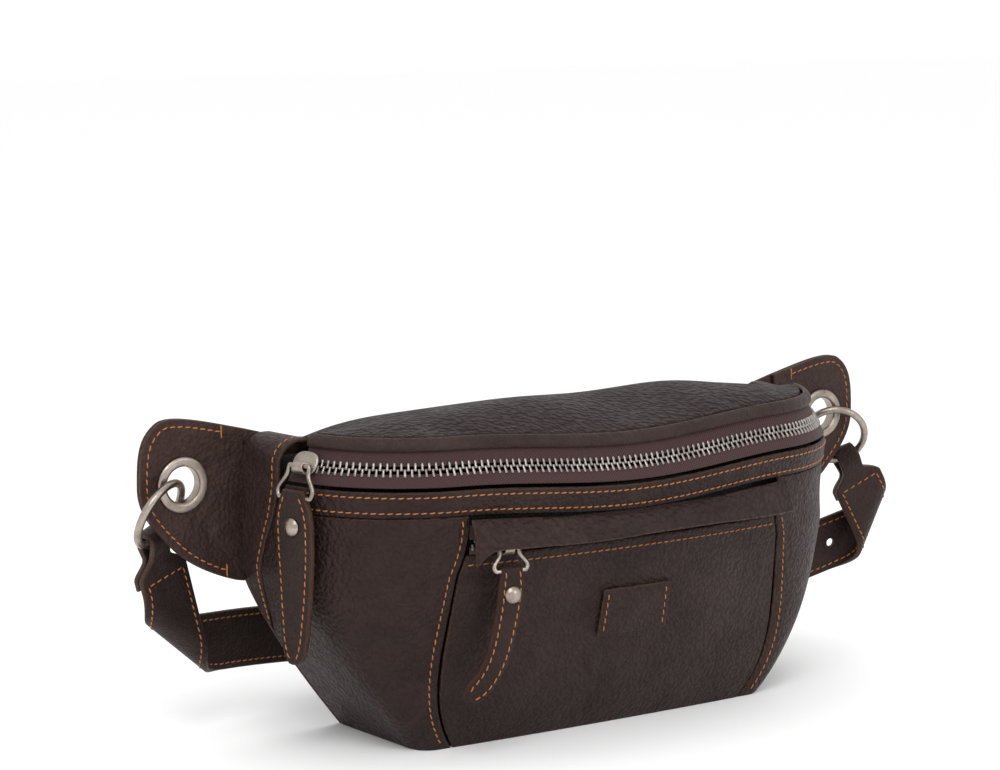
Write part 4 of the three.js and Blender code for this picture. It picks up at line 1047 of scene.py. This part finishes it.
# main slider, parked on the left corner arc
parked = math.radians(70.5)
mainOut = np.array([-math.sin(parked), -math.cos(parked), 0])
mainAlong = np.array([math.cos(parked), -math.sin(parked), 0])
chainAt = np.array([-(136 - 65.1), rail["cy"], 117.5]) + mainOut * 59.1
leanZ = math.radians(30)
mainNormal = mainOut * math.cos(leanZ) + up * math.sin(leanZ)
mainUp = np.cross(mainNormal, mainAlong)
onMain = localFrame(chainAt, mainAlong, mainUp, mainNormal)
slider("main_slider_body", onMain, 1.0, 1.0, "main_slider", "main_slider")
mainPin = onMain(np.array([0, -2.65, 5.6]))


def hang(out, degrees):
    t = math.radians(degrees)
    return up * math.cos(t) - out * math.sin(t), out * math.cos(t) + up * math.sin(t)


bailUp, bailOut = hang(mainOut, 15)
onBail = localFrame(mainPin, mainAlong, bailUp, bailOut)
bail("main_bail_wire", onBail, 5.0, 8.6, 12.2, "main_pull", "main_bail")
onTab = localFrame(mainPin - bailUp * 12.2, mainAlong, up, mainOut)
tabHalf = np.array([(0, 5.0), (3, 6.3), (8, 8.4), (14, 9.3), (26, 9.1), (45, 7.9), (60, 6.3), (65, 5.2),
    (68, 3.6), (69.6, 1.9), (70.2, 0.4)])


def tabSurface(u, v):
    down = 70.2 * u
    half = np.interp(down, tabHalf[:, 0], tabHalf[:, 1])
    curve = 1.2 * np.sin(math.pi * u) ** 2
    return onTab(vec(mix(-half, half, v), 3.1 - down, -curve * 0.6))


dress(slab("main_tab_skin", tabSurface, (70, 17), (110, 22), 3.8, 1.3), looks["strap"], "main_pull",
    "leather", "main_pull_tab")
rivet("main_rivet_dome", onTab, 11.5, 3.8, "main_pull", "main_pull_rivet")


# a stitch line a set distance inside both edges of a tab, meeting in a point at the tip
def tabStitches(surface, halves, length, away, thick, top, foot):
    us = np.linspace(top, foot, 160)
    half = np.interp(us * length, halves[:, 0], halves[:, 1])
    side = np.clip(1 - away / half, 0.0, 1) / 2
    found = []
    for face in (1, -1):
        for way in (-1, 1):
            spot, normal = onSurface(surface, us, 0.5 + way * side, thick * face, False)
            found.append(stitchRow(spot, normal * face))
    return found


stitchMesh("main_tab_stitches", tabStitches(tabSurface, tabHalf, 70.2, 2.3, 3.8, 0.035, 0.965), "main_pull")

# pocket slider
pocketSection = sectionAt(87.0)
pocketBow = math.radians(pocketSection["bow"])
pocketRadius = pocketSection["corner"] + pocketSection["cx"] / math.sin(pocketBow)
pocketCy = pocketSection["cy"] + pocketSection["cx"] / math.tan(pocketBow)
start = math.radians(-6.9)
pocketOut = np.array([math.sin(start), -math.cos(start), 0])
pocketAlong = np.array([math.cos(start), math.sin(start), 0])
pocketAt = np.array([0, pocketCy, 87.0]) + pocketOut * (pocketRadius - 1.5)
onPocket = localFrame(pocketAt, pocketAlong, up, pocketOut)
slider("pocket_slider_body", onPocket, 0.8, 0.8, "pocket_slider", "pocket_slider")
pocketPin = onPocket(np.array([0, -2.65, 4.48]))
pocketUp, pocketFace = hang(pocketOut, 14)
bail("pocket_bail_wire", localFrame(pocketPin, pocketAlong, pocketUp, pocketFace), 4.1, 7.2, 8.5,
    "pocket_pull", "pocket_bail")
onPocketTab = localFrame(pocketPin - pocketUp * 8.5, pocketAlong, up, pocketOut)
tabPath = np.array([(0, 3), (0, -6), (-1, -14), (-3.4, -25), (-6.4, -35), (-11, -43), (-17, -48),
    (-22, -50.5)], float)
tabReach = np.concatenate([[0], np.cumsum(np.linalg.norm(np.diff(tabPath, axis=0), axis=1))])


def pocketTabSurface(u, v):
    at = np.clip(u, 0, 1) * tabReach[-1]
    soft = lambda k: sum(np.interp(at + d, tabReach, tabPath[:, k]) for d in (-4, -2, 0, 2, 4)) / 5
    e = 0.5
    gx = sum(np.interp(at + e + d, tabReach, tabPath[:, 0])
        - np.interp(at - e + d, tabReach, tabPath[:, 0]) for d in (-4, 0, 4))
    gy = sum(np.interp(at + e + d, tabReach, tabPath[:, 1])
        - np.interp(at - e + d, tabReach, tabPath[:, 1]) for d in (-4, 0, 4))
    size = np.sqrt(gx ** 2 + gy ** 2) + 1e-9
    half = mix(4.6, 5.6, np.clip(u * 6, 0, 1)) * np.sqrt(np.clip((1 - u) * 9 + 0.02, 0, 1)) - 1.0 * u
    aside = mix(-half, half, v)
    return onPocketTab(vec(soft(0) - gy / size * aside, soft(1) + gx / size * aside, 0.0))


dress(slab("pocket_tab_skin", pocketTabSurface, (62, 11), (90, 18), 3.6, 1.2), looks["strap"],
    "pocket_pull", "leather", "pocket_pull_tab")
rivet("pocket_rivet_dome", onPocketTab, 9.5, 3.6, "pocket_pull", "pocket_pull_rivet")
pocketHalf = np.array([(0, 4.6), (10, 5.4), (52, 4.6), (58, 3.6), (61, 2.4), (62, 1.2)])
stitchMesh("pocket_tab_stitches", tabStitches(pocketTabSurface, pocketHalf, 62, 1.8, 3.6, 0.04, 0.93),
    "pocket_pull")
print("sliders and pulls made")

# pocket zip, flap and patch


def pocketLine(station, across, out=0.1):
    x, y, ox, oy = planPoint(station, pocketSection, 1.5 - out)
    return vec(x, y, 87 + across + 0 * x)


for name, low, high in (("pocket_tape_lower", -4.4, -1.6), ("pocket_tape_upper", 1.6, 7.2)):
    surface = lambda u, v, low=low, high=high: pocketLine(mix(-0.47, 0.47, u), mix(low, high, v), 0.0)
    dress(slab(name + "_skin", surface, (152, high - low), (90, 5), 0.8, 0.25), tapeLook, "pouch",
        "zip_tape", name)
outHint = lambda station: vec(planPoint(station, pocketSection)[2], planPoint(station, pocketSection)[3],
    0.0)
toothRow("pocket_teeth_row_low", evenly(0.47, 2.3, pocketLine), -1.5, 1, 2.5, "pouch",
    "pocket_teeth_lower", pocketLine, 0.85)
toothRow("pocket_teeth_row_high", evenly(0.47, 2.3, pocketLine, 0.5), 1.5, -1, 2.5, "pouch",
    "pocket_teeth_upper", pocketLine, 0.85)


def flapSurface(u, v):
    station = mix(-pocketShare - 0.005, pocketShare + 0.012, u)
    top = bandFoot(station) - 1.7
    stand = 1.0 + 5.0 * (1 - v) ** 0.7 + 0.5 * np.sin(7 * u) * (1 - v)
    x, y, ox, oy = planPoint(station, sectionAt(95.0))
    out = stand + 1.0
    # the left corner droops like an ear and the foot line waves a little
    droop = 6.5 * np.clip(1 - u / 0.07, 0, 1) ** 2 * (1 - v)
    low = 85.0 - droop + 0.4 * np.sin(11 * u + 1)
    return vec(x + out * ox, y + out * oy, mix(low, top, v))


dress(slab("flap_skin", flapSurface, (160, 13), (150, 20), 2.0, 1.0), looks["pebbled"], "flap",
    "leather", "pocket_flap")


def patchSurface(u, v):
    return pocketSurface(mix(0.418, 0.622, u), mix(42, 62, v) / 82.2) + onSurface(
        pocketSurface, mix(0.418, 0.622, u), mix(42, 62, v) / 82.2, 2.0)[1] * 1.95


dress(slab("patch_skin", patchSurface, (34, 20), (40, 24), 1.5, 0.8), looks["smooth"], "pouch",
    "leather", "pocket_patch")
short = np.linspace(0.08, 0.92, 40)
stitchMesh("patch_stitches", [stitchRow(*onSurface(patchSurface, 0.07, short, 1.5)),
                              stitchRow(*onSurface(patchSurface, 0.93, short, 1.5))], "pouch")
print("pocket made")

# belt
belt = {"width": 25.0, "thick": 2.6, "turn": 15.0, "straight": 131.0, "neck": 5.2, "middleZ": 25.0,
    "fold": 6.0}
halfStrap = belt["width"] / 2
toMiddle = np.array([math.cos(math.radians(belt["turn"])), math.sin(math.radians(belt["turn"])), 0])
toBack = np.array([-toMiddle[1], toMiddle[0], 0])
layer = (belt["thick"] + gap) / 2
loopRadius = ringSet["wire"] + 1.1 + belt["thick"] / 2
loopArc = math.pi * loopRadius
loopLength = 9.0
tailLength = 17.0


def planar(a, b):
    return np.asarray(a)[..., None] * toMiddle + np.asarray(b)[..., None] * up


def strapSide(hangs, leaves, drop):
    hangs, leaves = unit(np.array(hangs)), unit(np.array(leaves))
    crease = unit(hangs + leaves)
    across = np.array([-crease[1], crease[0]])
    across = across * np.sign(across @ hangs)
    hangs3 = planar(*hangs)
    pull = unit(hangs3 - ringAxis * (hangs3 @ ringAxis))
    broad = np.array([-hangs[1], hangs[0]])
    tangent = unit(np.cross(ringAxis, pull))
    tangent = tangent * np.sign(tangent @ planar(*broad))
    return {"hangs": hangs, "leaves": leaves, "crease": crease, "across": across, "broad": broad,
            "pin": ringMiddle + pull * ringSet["radius"], "drop": drop, "tangent": tangent}


leftSide = strapSide((0.28, -0.96), (0.998, -0.06), 34.0)
rightSide = strapSide((-0.45, -0.89), (0.95, -0.3), 25.0)
beltPlane = leftSide["pin"] @ toBack - layer + 2 * belt["fold"]
beltRound = belt["straight"] / math.sin(math.radians(belt["turn"]))


# the flat strap is rolled over its crease: what lies past the crease follows a half circle back
def foldPoint(side, s, v):
    a, b = s - side["drop"], v
    along = a * (side["hangs"] @ side["crease"]) + b * (side["broad"] @ side["crease"])
    over = a * (side["hangs"] @ side["across"]) + b * (side["broad"] @ side["across"])
    radius = (beltPlane - side["pin"] @ toBack + layer) / 2
    turn = np.clip(over / radius, 0, math.pi)
    past = np.maximum(over - math.pi * radius, 0)
    sideways = np.minimum(over, 0) + radius * np.sin(turn) - past
    flatPlace = side["hangs"] * side["drop"] + along[..., None] * side["crease"] + sideways[...,
        None] * side["across"]
    depth = radius * (1 - np.cos(turn)) - layer
    return side["pin"] + planar(flatPlace[..., 0], flatPlace[..., 1]) + depth[..., None] * toBack


for side in (leftSide, rightSide):
    spread = abs(side["broad"] @ side["across"]) * halfStrap
    radius = (beltPlane - side["pin"] @ toBack + layer) / 2
    side["doneAt"] = side["drop"] + (math.pi * radius + spread) / (side["hangs"] @ side["across"]) + 0.5
    side["end"] = foldPoint(side, np.array(side["doneAt"]), np.array(0.0))
    side["slope"] = side["leaves"][1] / side["leaves"][0] / toMiddle[0]


def beltHeight(side, other, x):
    def own(which):
        far = np.abs(x)
        edge = which["end"][2] + which["slope"] * (-belt["straight"] - which["end"][0])
        t = far / belt["straight"]
        level = mix(belt["middleZ"], edge,
            t * t * (3 - 2 * t)) - which["slope"] * belt["straight"] * (t ** 3 - t * t)
        return np.where(far > belt["straight"],
            which["end"][2] + which["slope"] * (-far - which["end"][0]), level)
    return np.where(x <= 0, own(side), own(other))


def beltPoint(side, other, x, out, aside):
    far = np.abs(x)
    edgeY = (beltPlane + toBack[0] * belt["straight"]) / toBack[1]
    angle = np.arcsin(np.minimum(far, belt["straight"]) / beltRound) * np.sign(x)
    y = edgeY + beltRound * (np.cos(angle) - toMiddle[0]) - np.maximum(far - belt["straight"],
        0) * math.tan(math.radians(belt["turn"]))
    z = beltHeight(side, other, x)
    slope = np.arctan((beltHeight(side, other, x + 0.5) - beltHeight(side, other, x - 0.5)) * np.cos(angle))
    outward3 = vec(np.sin(angle), np.cos(angle), 0.0)
    forward3 = vec(np.cos(angle), -np.sin(angle), 0.0)
    point = vec(x, y, z) + np.asarray(out)[..., None] * outward3 + (aside * np.sin(slope))[...,
        None] * forward3
    return point - (aside * np.cos(slope))[..., None] * up, forward3, outward3


def ringEnd(side, place, v):
    distance = np.where(place >= 0, place, np.maximum(-loopArc - place, 0))
    broad = belt["neck"] + (halfStrap - belt["neck"]) * ease((distance - 6) / 7)
    settled = ease(distance / loopLength)[..., None]
    aside = mix(side["tangent"], planar(*side["broad"]), settled) * (v * broad)[..., None]
    beta = math.pi * np.clip((place + loopArc) / loopArc, 0, 1)
    spread = mix(loopRadius, layer, settled)
    hangs3 = planar(*side["hangs"])
    radial = -np.sin(beta)[..., None] * hangs3 + np.cos(beta)[..., None] * toBack
    point = side["pin"] + radial * spread + aside + hangs3 * (distance[..., None] - 0.5 * (1 - settled))
    folded = foldPoint(side, np.maximum(place, 0), v * broad)
    return np.where((place >= loopLength)[..., None], folded, point)


wireHalf, heelX, tipX = 1.6, -9.0, 13.0
heelRadius = wireHalf + 2 * gap + belt["thick"] / 2
heelArc = math.pi * heelRadius


def heelPoint(past, v):
    beta = math.pi * np.clip(past / heelArc, 0, 1)
    back = np.where(past < 0, -past, np.maximum(past - heelArc, 0))
    spread = mix(heelRadius, layer, ease(back / 8))[..., None]
    point, forward3, outward3 = beltPoint(leftSide, rightSide, heelX - back, 0 * back, v * halfStrap)
    radial = np.sin(beta)[..., None] * forward3 + np.cos(beta)[..., None] * outward3
    return point - outward3 * layer + radial * spread


leftFar = leftSide["doneAt"] + heelX - 8 - leftSide["end"][0]
leftTotal = (-loopArc - tailLength, leftFar + 8 + heelArc + 26)


def leftStrapSurface(u, v):
    place = mix(*leftTotal, u)
    v = 2 * v - 1
    x = leftSide["end"][0] + place - leftSide["doneAt"]
    behind = beltPoint(leftSide, rightSide, x, 0 * x, v * halfStrap)[0]
    point = np.where((place >= leftSide["doneAt"])[..., None], behind, ringEnd(leftSide, place, v))
    return np.where((place > leftFar)[..., None], heelPoint(place - leftFar - 8, v), point)


underTip = -layer - wireHalf - 0.4 - belt["thick"] / 2
overHeel = -layer + heelRadius + belt["thick"] + 0.5
rightFar = rightSide["doneAt"] - rightSide["end"][0]
rightTotal = (-loopArc - tailLength, rightFar + 95)


def rightOut(x):
    low = underTip * ease((x + 60) / 42)
    cross = mix(underTip, overHeel, ease((x + 10) / 16))
    return np.where(x < -18, low, np.where(x < 9, cross,
        mix(overHeel, belt["thick"] + 0.4, ease((x - 9) / 14))))


def rightStrapSurface(u, v):
    place = mix(*rightTotal, u)
    rounding = np.clip((place - rightFar - 82.5) / 13, 0, 1)
    v = (2 * v - 1) * np.sqrt(1 - rounding ** 2 * 0.98)
    x = place - rightFar
    behind = beltPoint(rightSide, leftSide, x, rightOut(x), v * halfStrap)[0]
    point = np.where((place >= rightSide["doneAt"])[..., None], behind, ringEnd(rightSide, place, v))
    return point * mirrorX


def cutHoles(obj, cutters):
    for cutter in cutters:
        tool = obj.modifiers.new("hole", "BOOLEAN")
        tool.operation = "DIFFERENCE"
        tool.solver = "EXACT"
        tool.object = cutter
        mesh = bpy.data.meshes.new_from_object(obj.evaluated_get(bpy.context.evaluated_depsgraph_get()))
        obj.modifiers.clear()
        obj.data = mesh
        bpy.data.objects.remove(cutter)


def punch(point, way, radius=2.0):
    return turned("punch", [(radius, -8.0), (radius, 8.0)], point, way, 20, False)


leftLength = leftTotal[1] - leftTotal[0]
rightLength = rightTotal[1] - rightTotal[0]
strap = slab("strap_left_skin", leftStrapSurface, (leftLength, belt["width"]),
    (int(leftLength / 1.1), 16), belt["thick"], 0.8)
slotAt = beltPoint(leftSide, rightSide, np.array(heelX + 2.0), np.array(-layer), np.array(0.0))
cutHoles(strap, [tube("slot", slotAt[0] + np.linspace(-7, 6, 3)[:, None] * slotAt[1], 6, 4, side=up,
    wide=0.5)])
dress(strap, looks["strap"], "pouch", "strap", "strap_left")
strap = slab("strap_right_skin", rightStrapSurface, (rightLength, belt["width"]),
    (int(rightLength / 1.1), 16), belt["thick"], 0.8)
cutters = []
for x in np.arange(-32, rightSide["end"][0], -25):
    spot, _, out3 = beltPoint(rightSide, leftSide, np.array(x), rightOut(np.array(x)), np.array(0.0))
    cutters.append(punch(spot * mirrorX, out3 * mirrorX))
foldU = (rightSide["doneAt"] - 7 - rightTotal[0]) / rightLength
spot, normal = onSurface(rightStrapSurface, np.array([foldU]), np.array([0.5]), 0.0)
cutters.append(turned("punch", [(2.0, -3.0), (2.0, 3.0)], spot[0], normal[0], 20, False))
tongueAt = beltPoint(leftSide, rightSide, np.array(-0.3), np.array(0.0), np.array(0.0))
cutters.append(tube("slot", tongueAt[0] + np.linspace(-5.5, 5.5, 3)[:, None] * tongueAt[1], 8, 4,
    side=up, wide=0.38))
cutHoles(strap, cutters)
dress(strap, looks["strap"], "pouch", "strap", "strap_right")


# stitches along both edges of a strap, on the outer face and on the hidden one
def strapStitches(surface, length, start, end):
    us = np.linspace(start, end, int(length / 2))
    found = []
    for v in (0.115, 0.885):
        for face in (1, -1):
            spot, normal = onSurface(surface, us, v, belt["thick"] * face, False)
            found.append(stitchRow(spot, normal * face))
    return found


leftFirst = (loopArc + tailLength + 15.5) / leftLength
rightFirst = (loopArc + tailLength + 13.5) / rightLength
stitchMesh("strap_left_stitches", strapStitches(leftStrapSurface, leftLength, leftFirst, 0.86), "pouch",
    "strap")
stitchMesh("strap_right_stitches", strapStitches(rightStrapSurface, rightLength, rightFirst, 0.64),
    "pouch", "strap")
rows = []
for surface, first in ((leftStrapSurface, leftFirst), (rightStrapSurface, rightFirst)):
    for face in (1, -1):
        spot, normal = onSurface(surface, first, np.linspace(0.12, 0.88, 30), belt["thick"] * face, False)
        rows.append(stitchRow(spot, normal * face))
stitchMesh("strap_cross_stitches", rows, "pouch", "strap")

# buckle, tongue and keepers
centre, forward3, outward3 = beltPoint(leftSide, rightSide, np.array(0.0), np.array(0.0), np.array(0.0))
onBuckle = localFrame(centre, forward3, up, outward3)
x0, x1, tall, corner = heelX, tipX, 15.2, 2.6
turn = np.radians(np.linspace(0, 90, 7))
quarter = np.stack([np.cos(turn), np.sin(turn)], -1) * corner
path = np.vstack([quarter + [x1 - corner, tall - corner],
    (quarter * [-1, 1])[::-1] + [x0 + corner, tall - corner],
                  -quarter + [x0 + corner, -tall + corner],
                      (quarter * [1, -1])[::-1] + [x1 - corner, -tall + corner]])
dress(tube("buckle_wire", onBuckle(vec(path[:, 0], path[:, 1], -layer)), wireHalf, 16, True,
    side=outward3), nickelLook, "pouch", "nickel", "buckle_frame")
bar = np.stack([np.linspace(heelX + 1, tipX + 2.6, 20), np.full(20, -layer + wireHalf + 1.1)], -1)
curl = np.stack([heelX + 2.6 * np.sin(np.radians(np.linspace(330, 0, 28))),
    -layer + 2.6 * np.cos(np.radians(np.linspace(330, 0, 28)))], -1)
path = np.vstack([curl, bar])
dress(tube("tongue_wire", onBuckle(vec(path[:, 0], 0.0, path[:, 1])), 0.72, 12, False, side=up,
    wide=2.1), nickelLook, "pouch", "nickel", "buckle_tongue")
for x, name in ((-42.0, "keeper_1"), (-70.0, "keeper_2")):
    centre, forward3, outward3 = beltPoint(leftSide, rightSide, np.array(x), np.array(0.0), np.array(0.0))
    onKeeper = localFrame(centre, forward3, up, outward3)

    def keeperSurface(u, v):
        a = u * 2 * math.pi
        c, s = np.cos(a), np.sin(a)
        r = (np.abs(c) ** 7 + np.abs(s) ** 7) ** (-1 / 7)
        return onKeeper(vec(mix(-5, 5, v), 13.9 * r * c, 1.5 + 3.95 * r * s))
    dress(slab(name + "_skin", keeperSurface, (70, 10), (72, 10), 1.5, 0.6, wrap=True), looks["strap"],
        "pouch", "strap", name)
print("belt made, strap lengths", round(leftLength), round(rightLength), "pocket zip radius",
    round(pocketRadius - 1.5))

# floor, light
floorMesh = bpy.data.meshes.new("floor")
floorMesh.from_pydata([(-6, -6, 0), (6, -6, 0), (6, 6, 0), (-6, 6, 0)], [], [(0, 1, 2, 3)])
floor = bpy.data.objects.new("floor", floorMesh)
bpy.context.scene.collection.objects.link(floor)
floorLook, tree, shader = newLook("floor")
shader.inputs["Base Color"].default_value = (0.97, 0.97, 0.97, 1)
shader.inputs["Roughness"].default_value = 0.75
floorMesh.materials.append(floorLook)

bpy.context.scene.view_settings.view_transform = "Standard"
world = bpy.data.worlds.new("studio")
bpy.context.scene.world = world
world.use_nodes = True
world.node_tree.nodes["Background"].inputs["Color"].default_value = (1, 1, 1, 1)
world.node_tree.nodes["Background"].inputs["Strength"].default_value = 1.02
lightSet = {
    "key": ((-0.7, -0.9, 1.3), 0.8, 9.0),
    "front": ((0.5, -1.5, 0.7), 0.7, 4.0),
    "top": ((0.2, 0.2, 1.5), 1.0, 2.0),
}
for name, (place, size, power) in lightSet.items():
    data = bpy.data.lights.new(name, "AREA")
    data.size = size
    data.energy = power
    lamp = bpy.data.objects.new(name, data)
    lamp.location = place
    way = np.array([0, 0, 0.06]) - np.array(place)
    pitch = math.atan2(math.hypot(way[0], way[1]), -way[2])
    lamp.rotation_euler = (pitch, 0, math.atan2(way[1], way[0]) - math.pi / 2)
    bpy.context.scene.collection.objects.link(lamp)


print("scene ready")
